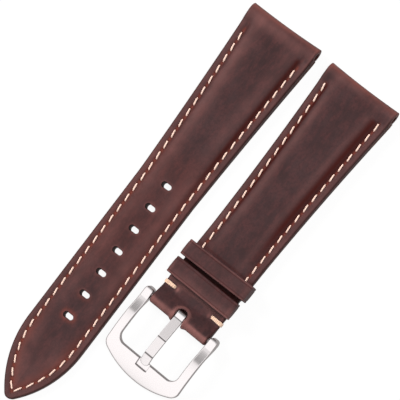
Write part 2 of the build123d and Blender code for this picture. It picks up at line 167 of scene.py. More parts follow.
def meshPiece(name, body, points, faces, sharpAngle, look, node, attributes=None, uv=None):
    # A closed mesh that rides on its body and stands for a node of the frame.
    mesh = bpy.data.meshes.new(name)
    mesh.from_pydata(points.reshape(-1, 3).tolist(), [], faces)
    for title, values in (attributes or {}).items():
        layer = mesh.attributes.new(title, "FLOAT", "POINT")
        layer.data.foreach_set("value", np.asarray(values, np.float32).ravel())
    if uv is not None:
        layer = mesh.uv_layers.new(name="UVMap")
        loops = np.empty(len(mesh.loops), np.int32)
        mesh.loops.foreach_get("vertex_index", loops)
        layer.data.foreach_set("uv", np.asarray(uv, np.float32).reshape(-1, 2)[loops].ravel())
    merged = bmesh.new()
    merged.from_mesh(mesh)
    bmesh.ops.remove_doubles(merged, verts=merged.verts, dist=2e-6)
    bmesh.ops.dissolve_degenerate(merged, edges=merged.edges, dist=1e-7)
    bmesh.ops.recalc_face_normals(merged, faces=merged.faces)
    merged.to_mesh(mesh)
    merged.free()
    mesh.shade_smooth()
    mesh.set_sharp_from_angle(angle=math.radians(sharpAngle))
    mesh.materials.append(look)
    piece = bpy.data.objects.new(name, mesh)
    bpy.context.scene.collection.objects.link(piece)
    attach(piece, body)
    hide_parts(node)
    return piece


def gridFaces(rows, columns, offset=0, wrapRows=False, wrapColumns=False):
    # Quads between neighbouring points of a rows by columns grid.
    r = np.arange(rows if wrapRows else rows - 1)
    c = np.arange(columns if wrapColumns else columns - 1)
    r, c = np.meshgrid(r, c, indexing="ij")
    nextR, nextC = (r + 1) % rows, (c + 1) % columns
    quads = np.stack([r * columns + c, r * columns + nextC, nextR * columns + nextC, nextR * columns + c], -1)
    return (quads.reshape(-1, 4) + offset).tolist()


def endCaps(rows, columns, offset=0, sides=None):
    # One face over the first ring of a tube and one over its last.
    starts = (offset, offset + (rows - 1) * columns)
    return [list(range(start, start + (sides or columns))) for start in starts]


# Shader values

class Value:
    # One shader value; arithmetic on it adds Math nodes.
    def __init__(self, shader, socket):
        self.shader, self.socket = shader, socket

    def math(self, operation, *others, clamp=False):
        settings = {"operation": operation, "use_clamp": clamp}
        return self.shader.add("ShaderNodeMath", settings, dict(enumerate((self,) + others)))

    def __add__(self, other):
        return self.math("ADD", other)

    def __sub__(self, other):
        return self.math("SUBTRACT", other)

    def __rsub__(self, other):
        return (self * -1.0).math("ADD", other)

    def __mul__(self, other):
        return self.math("MULTIPLY", other)

    def __pow__(self, other):
        return self.math("POWER", other)

    __radd__ = __add__
    __rmul__ = __mul__

    def clamp(self):
        return self.math("ADD", 0.0, clamp=True)

    def between(self, low, high):
        # 0 at low, 1 at high, eased.
        return self.shader.add("ShaderNodeMapRange", {"interpolation_type": "SMOOTHSTEP"},
                               {0: self, 1: low, 2: high})

    def axis(self, letter):
        return self.shader.add("ShaderNodeSeparateXYZ", None, {0: self}, out=letter)


class Shader:
    # The nodes of a new material or of the world.
    def __init__(self, owner):
        owner.use_nodes = True
        self.owner, self.tree = owner, owner.node_tree

    def add(self, kind, settings=None, links=None, out=0):
        made = self.tree.nodes.new(kind)
        for key, value in (settings or {}).items():
            setattr(made, key, value)
        self.feed(made, links or {})
        return Value(self, made.outputs[out])

    def feed(self, node, links):
        for key, value in links.items():
            target = node.inputs[key]
            if isinstance(value, Value):
                self.tree.links.new(value.socket, target)
            elif isinstance(value, tuple) and len(value) == 3 and len(target.default_value) == 4:
                target.default_value = (*value, 1)
            else:
                target.default_value = value

    def attribute(self, name):
        return self.add("ShaderNodeAttribute", {"attribute_name": name}, out="Fac")

    def ray(self, kind):
        return self.add("ShaderNodeLightPath", out="Is " + kind + " Ray")

    def place(self):
        return self.add("ShaderNodeTexCoord", out="Object")

    def noise(self, scale, detail, roughness, stretch=None):
        vector = self.place()
        if stretch:
            vector = self.add("ShaderNodeMapping", None, {"Vector": vector, "Scale": stretch})
        return self.add("ShaderNodeTexNoise", None, {"Vector": vector, "Scale": scale, "Detail": detail,
                                                     "Roughness": roughness}, out="Fac")

    def mix(self, share, first, second):
        return self.add("ShaderNodeMix", {"data_type": "RGBA"}, {0: share, 6: first, 7: second}, out=2)

    def bump(self, height, strength, distance, normal=None):
        links = {"Height": height, "Strength": strength, "Distance": distance}
        if normal is not None:
            links["Normal"] = normal
        return self.add("ShaderNodeBump", None, links)

    def finish(self, **sockets):
        surface = self.tree.nodes["Principled BSDF"]
        self.feed(surface, {key.replace("_", " "): value for key, value in sockets.items()})
        return self.owner


def newShader(name):
    return Shader(bpy.data.materials.new(name))


def shade(red, green, blue):
    # A screen colour of 0 to 255 as the linear colour that a material takes.
    shares = (value / 255 for value in (red, green, blue))
    return tuple(((v + 0.055) / 1.055) ** 2.4 if v > 0.04 else v / 12.92 for v in shares)


# Colours of the waxed leather, how far its lighter and finer clouds show, and its patterns' scales per metre
# The light tone is both pulled-up leather and painted highlight; the two darkest reds are painted shade and
# painted shadow.
leatherTones = {
    "deep": shade(47, 32, 33), "body": shade(58, 41, 42), "wine": shade(78, 47, 47),
    "pullAndHighlight": shade(134, 90, 86), "ember": shade(112, 52, 40), "edge": shade(52, 26, 23),
    "paintedShade": shade(51, 4, 0), "paintedShadow": shade(16, 6, 5), "wineShare": 0.55, "speckShare": 0.5,
    "cloud": 95.0, "fine": 475.0, "speck": 1330.0, "streak": 420.0, "crease": 620.0, "pore": 2600.0,
    "grain": 3640.0,
}


def waxedLeather(name, warmth=0.0):
    # Pull-up leather: wine and brown clouds, lighter where pulled up and in painted highlights, dark on the
    # painted edge, with painted shade and shadow laid over it.
    tones, s = leatherTones, newShader(name)
    cloud = s.noise(tones["cloud"], 5.0, 0.6)
    fine = s.noise(tones["fine"], 6.0, 0.65, (1.5, 0.55, 1.0))
    specks = s.noise(tones["speck"], 4.0, 0.6)
    streaks = s.noise(tones["streak"], 4.0, 0.6, (1.0, 0.35, 1.0))
    base = s.mix(cloud.between(0.35, 0.68), tones["deep"], tones["body"])
    base = s.mix(fine.between(0.36, 0.70) * tones["wineShare"], base, tones["wine"])
    base = s.mix(specks.between(0.44, 0.66) * tones["speckShare"], base, tones["deep"])
    # The light tone goes where the leather is pulled up and where highlights are painted on flanks, lug, fold and
    # keepers.
    stretchedAndLit = s.attribute("pullAndHighlight") * (0.4 + cloud * 0.6) + warmth
    base = s.mix((stretchedAndLit * (0.75 + streaks * 0.5)).clamp(), base, tones["pullAndHighlight"])
    base = s.mix((s.attribute("ember") * (0.3 + fine * 0.8)).clamp(), base, tones["ember"])
    # Edge paint, then painted shade in the seam valley, on the right flank, round stitch holes, in openings and
    # keeper creases, then painted shadow.
    for mark in ("edge", "paintedShade", "paintedShadow"):
        base = s.mix(s.attribute(mark).clamp(), base, tones[mark])
    pores = s.add("ShaderNodeTexVoronoi", {"feature": "DISTANCE_TO_EDGE"},
                  {"Vector": s.place(), "Scale": tones["pore"]})
    normal = s.bump(pores.between(0.0, 0.16), 0.16, 0.00004)
    normal = s.bump(s.noise(tones["grain"], 3.0, 0.6), 0.28, 0.00005, normal)
    normal = s.bump(s.noise(tones["crease"], 5.0, 0.62, (1.0, 0.55, 1.0)), 0.38, 0.00022, normal)
    rough = 0.46 + (fine - 0.5) * 0.22 + s.attribute("edge") * 0.2 + s.attribute("pullAndHighlight") * 0.05
    return s.finish(Base_Color=base, Roughness=rough, Normal=normal, Specular_IOR_Level=0.24,
                    Specular_Tint=(1.0, 0.86, 0.84, 1.0))


def liningLeather(name):
    # Smooth tan calf below, painted dark on its walls.
    s = newShader(name)
    cloud = s.noise(160.0, 5.0, 0.6)
    fibre = s.noise(1500.0, 4.0, 0.6, (1.0, 0.4, 1.0))
    base = s.mix(cloud.between(0.35, 0.7), shade(86, 50, 34), shade(108, 66, 44))
    base = s.mix(fibre.between(0.45, 0.7) * 0.4, base, shade(70, 40, 28))
    facing = s.add("ShaderNodeNewGeometry", out="True Normal").axis("Z").math("ABSOLUTE")
    base = s.mix(1.0 - facing.between(0.2, 0.6), base, shade(66, 38, 34))
    normal = s.bump(cloud, 0.2, 0.0002, s.bump(fibre, 0.35, 0.00006))
    return s.finish(Base_Color=base, Roughness=0.55 + (cloud - 0.5) * 0.2, Normal=normal)


def edgeLeather(name):
    s = newShader(name)
    cloud = s.noise(300.0, 4.0, 0.6)
    base = s.mix(cloud.between(0.35, 0.7), leatherTones["edge"], leatherTones["deep"])
    return s.finish(Base_Color=base, Roughness=0.6, Normal=s.bump(cloud, 0.3, 0.0001))


def waxedThread(name, light, dark):
    # Two plies that turn along the thread: the UV map's v runs along it in turns, u round it.
    s = newShader(name)
    uv = s.add("ShaderNodeUVMap")
    ply = ((uv.axis("X") + uv.axis("Y")) * (2 * math.tau)).math("SINE") * 0.5 + 0.5
    fuzz = s.noise(3800.0, 3.0, 0.7)
    base = s.mix((ply ** 0.6) * (0.75 + fuzz * 0.3), dark, light)
    normal = s.bump(fuzz, 0.35, 0.00004, s.bump(ply, 0.5, 0.00006))
    return s.finish(Base_Color=base, Roughness=0.62, Normal=normal, Sheen_Weight=0.15)


def satinSteel(name, tone=(0.91, 0.858, 0.858), roughness=0.27):
    # Brushed after polishing: bright faces, with dark reflections painted into the bends, the rims and the milled
    # notch.
    s = newShader(name)
    hair = s.noise(900.0, 5.0, 0.7, (6.0, 0.35, 1.0))
    cloud = s.noise(130.0, 4.0, 0.6)
    rough = roughness + (hair - 0.5) * 0.10 + (cloud - 0.5) * 0.06
    # Painted reflection: the darkening mark lowers the colour where the steel would mirror the dark room.
    base = s.mix(s.attribute("bend").clamp(), tone, (0.17, 0.155, 0.155))
    return s.finish(Base_Color=base, Metallic=1.0, Roughness=rough, Normal=s.bump(hair, 0.10, 0.00002))


leatherLook = waxedLeather("waxed_leather")
keeperLook = waxedLeather("keeper_leather", 0.04)
threadLook = waxedThread("waxed_thread", shade(255, 232, 218), shade(214, 168, 146))
tackLook = waxedThread("tack_thread", shade(240, 216, 194), shade(190, 146, 116))
steelLook = satinSteel("satin_steel")
print("materials made")


# Nodes of the frame that keep their shapes and get a finer finish

keptLooks = [
    (liningLeather("lining_leather"), ("tail_lining", "buckle_lining")),
    (edgeLeather("bonded_edge"), ("tail_filler", "buckle_filler")),
    (steelLook, ("spring_bar_tube", "spring_bar_pin_left", "spring_bar_pin_right")),
    (satinSteel("spring_wire", (0.55, 0.55, 0.56), 0.35), ("spring_bar_spring",)),
]
for look, kept in keptLooks:
    for name in kept:
        nodes[name].data.materials.clear()
        nodes[name].data.materials.append(look)


# The plan of a half

halfCut = dict(
    lugHalf=10.9, lugSquare=4.4, bore=1.0, rampEnd=6.3, rampHeight=3.4, taperOff=50.0, thickness=2.1,
    lining=0.8, leather=1.1, tab=0.6, tabLength=6.5, edgeRound=0.42, flankIn=2.45, flank=2.5, rise=1.2,
    shoulder=0.8, seam=2.0, seamDip=0.2, seamWidth=0.42, seamFrom=(3.6, 1.4), flareFrom=(64.5, 3.5),
    lugHollow=0.25, unevenness=0.05, stitchPitch=3.4, stitch=2.3, slant=8.0, stitchStart=6.2, endGap=0.5,
    flankFold=(0.07, 2.35, 0.22), edgeSwell=(0.05, 1.0, 0.6))

tailCut = dict(
    halfCut, endHalf=8.8, taperEnd=52.6, bow=0.18, flare=0.0, length=121.2, tip=21.2, tipRound=1.8,
    riseAt=[2.2, 6.6, 13.9, 23.7, 35.5, 47.2, 60.9, 78.5, 100.0, 121.0],
    riseShare=[0.0, 0.9, 1.0, 1.0, 0.86, 0.62, 0.42, 0.28, 0.25, 0.22],
    holes=[51.9 + 7.0 * i for i in range(7)], window=(1.75, 2.3), holeHalf=1.4, holeRound=0.7, holeRim=0.2,
    holeDip=(0.05, 0.0, 0.6), seed=5)

buckleCut = dict(
    halfCut, endHalf=9.15, taperEnd=52.0, bow=0.32, flare=0.1, length=75.4, tip=0.0,
    riseAt=[2.2, 6.0, 12.6, 21.9, 32.3, 42.7, 51.9, 60.0, 61.5],
    riseShare=[0.0, 0.9, 1.0, 1.0, 0.94, 0.78, 0.5, 0.1, 0.0],
    foldRadius=1.85, barHole=0.8, neckHeight=1.9, neckStart=71.6, flapStart=62.7, fillerEnd=60.0,
    bumpStart=63.5, bumpEnd=68.3, bump=2.4, pocket=1.3, slotHalf=1.5, slotBack=73.3, slotShort=0.7,
    slotMargin=1.2, slotAside=3.2, rimWidth=1.15, rimHeight=0.38, holeRim=0.25, tackAt=70.4, tackInside=6.05,
    rimGroove=(0.10, 1.3, 0.22), grooveTo=(76.5, 1.5), pucker=(0.2, 5.8, 0.55), puckerLength=0.6, seed=6)


def halfWidth(cut, t):
    share = np.clip((t - cut["lugSquare"]) / (cut["taperEnd"] - cut["lugSquare"]), 0, 1)
    straight = cut["lugHalf"] + (cut["endHalf"] - cut["lugHalf"]) * share
    return straight - cut["bow"] * 4 * share * (1 - share) + cut["flare"] * rises(t, *cut["flareFrom"])


def tipRadius(cut):
    return (cut["tip"] ** 2 + cut["endHalf"] ** 2) / (2 * cut["endHalf"])


def edgeDistance(cut, x, t):
    # How far a point lies inside the outline.
    inside = halfWidth(cut, t) - np.abs(x)
    if not cut["tip"]:
        return inside
    radius, start, rounding = tipRadius(cut), cut["length"] - cut["tip"], cut["tipRound"]
    arc = radius - np.hypot(np.abs(x) + radius - cut["endHalf"], t - start)
    reach = math.sqrt((radius - rounding) ** 2 - (radius - cut["endHalf"]) ** 2)
    onPoint = (t - start - reach) * (radius - cut["endHalf"]) > np.abs(x) * reach
    arc = np.where(onPoint, rounding - np.hypot(x, t - start - reach), arc)
    return np.where(t > start, arc, inside)


def seamPath(cut):
    # The stitch line on the right side, as x, t and the length along it.
    t = np.arange(0, cut["length"] if cut["tip"] else cut["flapStart"], 0.02)
    inset = cut["seam"]
    x = halfWidth(cut, t) - inset
    if cut["tip"]:
        radius, start = tipRadius(cut) - inset, cut["length"] - cut["tip"]
        arc = cut["endHalf"] - radius - inset + np.sqrt(np.maximum(radius ** 2 - (t - start) ** 2, 0))
        x = np.where(t > start, arc, x)
        x, t = x[x > 0], t[x > 0]
    return x, t, lengthAlong(np.stack([x, t], 1))


def stitchMiddles(cut, length):
    # Lengths along the stitch line of every stitch, counted back from its end as the cut leather is.
    last = length[-1] - cut["stitch"] / 2 - cut["endGap"]
    count = int((last - cut["stitchStart"]) / cut["stitchPitch"]) + 1
    return last - np.arange(count) * cut["stitchPitch"]


def stitchLines(cut, slant):
    # Middle and direction of every stitch, right side and then left, each turned by the slant.
    x, t, length = seamPath(cut)
    at, near = stitchMiddles(cut, length), 0.1
    middleX, middleT = np.interp(at, length, x), np.interp(at, length, t)
    dx = np.interp(at + near, length, x) - np.interp(at - near, length, x)
    dt = np.interp(at + near, length, t) - np.interp(at - near, length, t)
    size = np.hypot(dx, dt)
    dx, dt = np.concatenate([dx / size, -dx / size]), np.concatenate([dt / size, dt / size])
    c, s = math.cos(math.radians(slant)), math.sin(math.radians(slant))
    return (np.concatenate([middleX, -middleX]), np.concatenate([middleT, middleT]),
            dx * c + dt * s, dt * c - dx * s)


# The leather sheet, followed from its turned-in end round the lug roll and along the strap

def matched(outer, inner, count=40):
    # The outer and the inner face of one stretch of the sheet, point by point.
    return np.hstack([even(outer, count), even(inner, count)])


def tangentAngle(centre, radius, point, turn):
    aside, above = point[0] - centre[0], point[1] - centre[1]
    return math.degrees(math.atan2(above, aside) + turn * math.acos(radius / math.hypot(aside, above)))


def topPath(cut, rollEnd):
    # The top face beyond the lug roll: places 0.05 apart along the half and their heights, corners softened.
    corners = [rollEnd, (cut["rampEnd"], cut["rampHeight"]), (cut["taperOff"], cut["thickness"])]
    if not cut["tip"]:
        corners += [(cut["flapStart"] - 0.1, cut["thickness"]), (cut["bumpStart"], cut["bump"]),
                    (cut["bumpEnd"], cut["bump"]), (cut["bumpEnd"] + 1.2, cut["neckHeight"]),
                    (cut["neckStart"], cut["neckHeight"])]
    t = np.arange(0, cut["length"] + 5, 0.05)
    plain = np.interp(t, *zip(*corners))
    return t, plain + (softened(plain, 0.05, 0.8) - plain) * rises(t, 3.8, 2.0)


def foldRuns(cut, top, under, topLine, joined):
    # From the strap's middle to the neck, round the bar and back underneath to the end of the flap.
    lining, neck, flap, closes = cut["lining"], cut["neckStart"], cut["flapStart"], cut["slotBack"] + 0.3
    centre, fold, hole = (cut["length"], cut["foldRadius"]), cut["foldRadius"], cut["barHole"]
    start, rearHole, behindBar = top(neck), (centre[0] - hole, fold), (centre[0] - 1.4, 0)
    onto = tangentAngle(centre, fold, start, -1)
    pocketFrom, pocketTo, wall, fillerEnd = cut["bumpStart"], cut["bumpEnd"], 0.05, cut["fillerEnd"]
    inner = [under(joined), under(cut["taperOff"]), under(fillerEnd), (fillerEnd + 0.2, lining),
             (pocketFrom - wall, lining), (pocketFrom, cut["pocket"]), (pocketTo, cut["pocket"]),
             (pocketTo + wall, lining), (neck, lining)]
    t = np.linspace(joined, neck, 900)
    outerZ, innerZ = np.interp(t, *zip(*topLine(joined, neck))), np.interp(t, *zip(*inner))
    return [
        np.stack([t, outerZ, t, innerZ], 1),
        matched([start, arcPoint(centre, fold, onto)], [(neck, lining), (closes, lining)]),
        matched(arcPoints(centre, fold, onto, 90), [(closes, lining), rearHole], 16),
        matched(arcPoints(centre, fold, 90, -90, 60), arcPoints(centre, hole, 180, -180, 60), 80),
        matched([(centre[0], 0), behindBar], [rearHole, (closes, lining)], 16),
        matched([behindBar, (flap, 0)], [(closes, lining), (flap, lining)], 80),
    ]


def sheetPath(cut):
    # Station, outer t and z, inner t and z, and the outer normal's t and z. A station is t along the top.
    lining, square = cut["lining"], cut["lugSquare"]
    roll, tabTop, tabEnd = (lugRoll, lugRoll), lining + cut["tab"], square + cut["tabLength"]
    leaves = -math.degrees(math.asin((lugRoll - lining) / lugRoll))
    meets = tangentAngle(roll, lugRoll, (cut["rampEnd"], cut["rampHeight"]), 1) - 360
    behind, rear, joined = square + 0.2, lugRoll + cut["bore"], 7.0
    topT, topZ = topPath(cut, arcPoint(roll, lugRoll, meets))

    def top(t):
        return (t, float(np.interp(t, topT, topZ)))

    def under(t):
        return (t, top(t)[1] - cut["leather"])

    def topLine(start, end):
        return [top(t) for t in [start, *np.arange(start, end, 0.2)[1:], end]]

    runs = [
        matched([(tabEnd, lining), (behind, lining)], [(tabEnd, tabTop), (behind, tabTop)]),
        matched([(behind, lining), arcPoint(roll, lugRoll, leaves)],
                [(behind, tabTop), (behind, lugRoll)], 12),
        matched(arcPoints(roll, lugRoll, leaves, -60), [(behind, lugRoll), (rear, lugRoll)], 16),
        matched(arcPoints(roll, lugRoll, -60, -270, 60), arcPoints(roll, cut["bore"], 0, -270, 60), 90),
        matched(np.vstack([arcPoints(roll, lugRoll, -270, meets), [top(square)]]),
                arcPoints(roll, cut["bore"], -270, -360), 30),
        matched([top(square), top(square + 0.5)], [(rear, lugRoll), (behind, lugRoll)], 12),
        matched([top(square + 0.5), top(square + 1)], [(behind, lugRoll), under(behind)], 12),
        matched(topLine(square + 1, joined), [under(behind), under(cut["rampEnd"]), under(joined)], 12),
    ]
    if cut["tip"]:
        end = cut["length"] + 1
        runs.append(matched(topLine(joined, end), [under(joined), under(cut["taperOff"]), under(end)], 900))
    else:
        runs += foldRuns(cut, top, under, topLine, joined)
    points, spacing, soft = np.vstack(runs), 0.04, 0.3
    length = lengthAlong(points[:, :2])
    fine = np.arange(0, length[-1], spacing)
    keep = np.concatenate([[True], np.diff(length) > 0])
    t, z, innerT, innerZ = (np.interp(fine, length[keep], points[keep, i]) for i in range(4))
    t, z = softened(t, spacing, soft), softened(z, spacing, soft)
    dt, dz = np.gradient(t), np.gradient(z)
    size = np.hypot(dt, dz)
    first = np.flatnonzero((t > joined) & (dt > 0) & (fine > 20))[0]
    station = fine - fine[first] + t[first]
    if cut["tip"]:
        station[first:] = t[first:]
    else:
        last = np.flatnonzero((t > cut["neckStart"]) & (fine > fine[first]))[0]
        station[first:last] = t[first:last]
        station[last:] = fine[last:] - fine[last] + station[last - 1] + spacing
    return {"station": station, "t": t, "z": z, "innerT": innerT, "innerZ": innerZ,
            "nt": -dz / size, "nz": dt / size}


def along(path, key, station):
    return np.interp(station, path["station"], path[key])


def crownRise(cut, t):
    fine = np.arange(0, cut["length"] + 5, 0.1)
    share = softened(np.interp(fine, cut["riseAt"], cut["riseShare"]), 0.1, 0.9)
    return np.interp(t, fine, share * rises(fine, 1.5, 2.5))


def crownHeight(cut, t, d, x, inset=0.0):
    # The padded crown: a steep soft flank, then a gentle bow to the middle line.
    half = np.maximum(halfWidth(cut, t) - cut["flankIn"] - inset, 0.5)
    q = np.clip((d - cut["flankIn"] - inset) / np.minimum(cut["flank"], half * 0.6), 0, 1)
    flank = 1 - (1 - q) ** 2.3
    bow = 1 - np.clip(np.abs(x) / half, 0, 1) ** 2
    share = cut["shoulder"] * flank + (1 - cut["shoulder"]) * bow * smooth(q)
    return cut["rise"] * crownRise(cut, t) * share


def holeGap(cut, station, x):
    # Distance from the outline of the nearest tail hole, or of the tongue's slot; negative inside it.
    if cut["tip"]:
        q = np.min([np.abs(station - at) for at in cut["holes"]], axis=0)
        straight = cut["holeHalf"] - cut["holeRound"]
        return np.hypot(np.maximum(np.abs(x) - straight, 0), q) - cut["holeRound"]
    q = np.abs(station - cut["slotMiddle"])
    return np.hypot(np.abs(x), np.maximum(q - cut["slotStraight"], 0)) - cut["slotHalf"]


class Spots:
    # Points of a sheet by station and x, with what its shape and its marks follow.
    def __init__(self, cut, path, station, x):
        self.station, self.x = station, x
        self.t, self.z, self.nt, self.nz = (along(path, key, station) for key in ("t", "z", "nt", "nz"))
        self.d = edgeDistance(cut, x, self.t)
        self.gap = holeGap(cut, station, x)
        self.rise = crownRise(cut, self.t)
        # Up is 1 on the strap's top, and 0 on the turned end, the roll's front and the fold's underside.
        self.up = rises(self.nz, 0.2, 0.6) * (station > -8)
        self.front = np.clip(-self.nt, 0, 1) * (station < 8)
        # The phase is 1 in the middle of a stitch and -1 between two.
        _, seamT, length = seamPath(cut)
        turns = (np.interp(self.t, seamT, length) - stitchMiddles(cut, length)[0]) / cut["stitchPitch"]
        self.phase = np.cos(turns * math.tau)


def heightOver(cut, spots):
    # How far the grain side stands out from its plain path.
    x, t, d, gap, front = spots.x, spots.t, spots.d, spots.gap, spots.front
    sewn = rises(t, *cut["seamFrom"]) * falls(t, cut["sewnTo"], 1.2)
    body = crownHeight(cut, t, d, x)
    body -= sewn * cut["seamDip"] * bell(d, cut["seam"], cut["seamWidth"]) * (1.0 - 0.3 * spots.phase)
    body += sewn * (glow(d, cut["edgeSwell"]) - glow(d, cut["flankFold"]) * spots.rise)
    body += cut["unevenness"] * waves(x, t, cut["seed"], (7.0, 3.0)) * smooth(d / 1.5)
    if cut["tip"]:
        body = spots.up * body - glow(gap, cut["holeDip"])
    else:
        body -= glow(np.abs(x), cut["pucker"]) * bell(t, cut["tackAt"], cut["puckerLength"])
        body -= glow(gap, cut["rimGroove"]) * falls(t, *cut["grooveTo"])
        lip = smooth(1.25 - gap / cut["rimWidth"]) * (gap < cut["rimWidth"] * 1.3)
        lip *= smooth((cut["slotMiddle"] + 1.5 - spots.station) / 3.0 + 0.6)
        body = spots.up * body + cut["rimHeight"] * lip
    body -= cut["lugHollow"] * front * (1 - np.clip(np.abs(x) / cut["lugHalf"], 0, 1) ** 2)
    return body - roundedOff(gap, cut["holeRim"]) - roundedOff(d, cut["edgeRound"] * (1 - 0.6 * front))


# Grid lines from the edge to the middle line, close at the edge, the seam and the flank
nearOffsets = np.array([0, 0.05, 0.12, 0.21, 0.32, 0.46, 0.65, 0.9, 1.2, 1.45, 1.65, 1.85, 2.05, 2.25, 2.45,
                        2.65, 2.9, 3.2, 3.55, 4.0, 4.6, 5.3])
middleShares = np.linspace(0, 1, 9)[1:]

# Rings round an opening, from its window to its edge, down its wall and out again below
ringShares = [0.8, 0.6, 0.42, 0.28, 0.18, 0.11, 0.06, 0.025, 0.0]
wallShares = [0.8, 0.6, 0.4, 0.2, 0.0]
rings = [(share, 1.0) for share in ringShares] + [(0.0, share) for share in wallShares] + [(0.4, 0.0)]


def acrossOffsets(reach):
    # Distances from the edge to the middle line for rows of the given lengths, closer near the edge.
    squeeze = np.minimum(1, 0.8 * reach / nearOffsets[-1])[:, None]
    near = nearOffsets[None] * squeeze
    return np.hstack([near, near[:, -1:] + middleShares[None] * (reach[:, None] - near[:, -1:])])


def sheetRows(cut, path):
    # Edge and middle-line places of every row: x and station of both.
    first, last = path["station"][0], path["station"][-1]
    if not cut["tip"]:
        spans = (first, 8, 0.24), (8, 60, 0.36), (60, last, 0.2)
        rows = np.concatenate([np.arange(*span) for span in spans] + [[last]])
        return halfWidth(cut, along(path, "t", rows)), rows, rows
    radius, start, rounding = tipRadius(cut), cut["length"] - cut["tip"], cut["tipRound"]
    rows = np.concatenate([np.arange(first, 8, 0.24), np.arange(8, start, 0.36)])
    centreX = cut["endHalf"] - radius
    centreQ = start + math.sqrt((radius - rounding) ** 2 - centreX ** 2)
    reach = math.atan2(centreQ - start, -centreX)
    side, fan = np.linspace(0, reach, 70), np.linspace(reach, math.pi / 2, 9)[1:]
    edgeX = [halfWidth(cut, along(path, "t", rows)), centreX + radius * np.cos(side), rounding * np.cos(fan)]
    edgeQ = [rows, start + radius * np.sin(side), centreQ + rounding * np.sin(fan)]
    middleQ = [rows, start - centreX * np.tan(side), np.full(len(fan), centreQ)]
    return np.concatenate(edgeX), np.concatenate(edgeQ), np.concatenate(middleQ)


def windowLoop(r0, r1, c0, c1):
    # Grid places round a window, in order.
    loop = [(r0, c) for c in range(c0, c1)] + [(r, c1) for r in range(r0, r1)]
    return loop + [(r1, c) for c in range(c1, c0, -1)] + [(r, c0) for r in range(r1, r0, -1)]


def ringQuads(first, second):
    return np.stack([first, np.roll(first, -1), np.roll(second, -1), second], 1)


def openingShare(cut, middle, x, station):
    # How far out from the opening's middle its edge lies on the way to each point, found by halving.
    low, high = np.zeros(len(x)), np.ones(len(x))
    for _ in range(40):
        guess = (low + high) / 2
        inside = holeGap(cut, middle + (station - middle) * guess, x * guess) < 0
        low, high = np.where(inside, guess, low), np.where(inside, high, guess)
    return high


def leatherSheet(cut, path):
    # Both faces of the sheet as grids, with rings of quads round every opening.
    # Returns x, station and side of every point, and the faces.
    edgeX, edgeQ, middleQ = sheetRows(cut, path)
    reach = np.hypot(edgeX, edgeQ - middleQ)
    share = acrossOffsets(reach) / np.maximum(reach, 1e-9)[:, None]
    halfX = edgeX[:, None] * (1 - share)
    halfQ = edgeQ[:, None] + (middleQ - edgeQ)[:, None] * share
    gridX, gridQ = np.hstack([-halfX, halfX[:, -2::-1]]), np.hstack([halfQ, halfQ[:, -2::-1]])
    rows, columns = gridX.shape
    total = rows * columns
    flatX, flatQ = gridX.ravel(), gridQ.ravel()
    xs, stations, sides = [flatX, flatX], [flatQ, flatQ], [np.ones(total), np.zeros(total)]
    quads = np.array(gridFaces(rows, columns)).reshape(rows - 1, columns - 1, 4)
    keep = np.ones((rows - 1, columns - 1), bool)
    extra, count = [], 2 * total
    alongHalf, acrossHalf = cut["window"]
    for middle in cut["holes"]:
        r0 = int(np.searchsorted(edgeQ[:rows], middle - alongHalf)) - 1
        r1 = int(np.searchsorted(edgeQ[:rows], middle + alongHalf))
        c0 = int(np.flatnonzero(gridX[r0] > -acrossHalf)[0]) - 1
        c1 = columns - 1 - c0
        keep[r0:r1, c0:c1] = False
        index = np.array([r * columns + c for r, c in windowLoop(r0, r1, c0, c1)])
        loopX, loopQ = flatX[index], flatQ[index]
        edge = openingShare(cut, middle, loopX, loopQ)
        previous = index
        for ringShare, side in rings:
            out = edge + (1 - edge) * ringShare
            xs.append(loopX * out)
            stations.append(middle + (loopQ - middle) * out)
            sides.append(np.full(len(index), side))
            here = np.arange(count, count + len(index))
            count += len(index)
            extra.append(ringQuads(previous, here))
            previous = here
        extra.append(ringQuads(previous, index + total))
    borders = [np.arange(rows) * columns + column for column in (0, columns - 1)]
    borders += [row * columns + np.arange(columns) for row in ([0] if cut["tip"] else [0, rows - 1])]
    walls = [np.stack([b[:-1], b[1:], b[1:] + total, b[:-1] + total], 1) for b in borders]
    faces = np.vstack([quads[keep], quads[keep][:, ::-1] + total] + walls + extra)
    return np.concatenate(xs), np.concatenate(stations), np.concatenate(sides), faces.tolist()


# Marks on the grain: a glow is a strength, a middle and a width, a ramp its start or end and its reach

# The valley and wall marks paint shade by the seam and on the walls of openings.
halfMarks = dict(
    front=(0.75, 0.85, 0.4), seam=(0.22, 1.0, 0.6), rim=(0.15, 0.5, 0.3), swell=0.6, swellEnds=(100, 15),
    sewnFrom=(4.8, 1.2), holeEmber=(1.0, 2.0, 0.42), lugEmber=(1.0, 0.6, 0.8), paint=0.8, paintWidth=0.5,
    paintFrom=(3.0, 0.8), rightValley=0.8, valleyShade=(1.0, 2.6, 0.5), needleReach=0.2, wall=0.85)

# Lug, flank and waist marks are partly painted highlight; the valley and band marks are painted shade, the hole
# mark painted shadow.
tailMarks = dict(
    halfMarks, lug=(0.34, 2.8, 1.8), leftFlank=(0.4, 4.25, 1.9), rightFlank=(0.2, 5.35, 1.9),
    leftValley=0.3, band=(1.0, 2.85, 0.6), holePull=(0.25, 0.1, 0.45), tipPull=0.16, tipPullFrom=(2.2, 0.5),
    tipRim=(0.08, 3.0, 0.9), tipFrom=(98, 8), waist=(0.2, 4.15, 1.3), waistFrom=(44, 10), waistTo=(94, 14),
    holeRed=(0.45, 0.5, 0.6), holeRedFrom=(84, 8), holeShadow=(0.22, 0.12), holeShadowFrom=(-0.25, 0.4),
    red=0.12, redFrom=(38, 10), redTo=(88, 14), tipRed=(0.3, 2.9, 1.2), tipRedFrom=(92, 10),
    seamRed=(0.15, 2.6, 0.6), seamRedFrom=30)

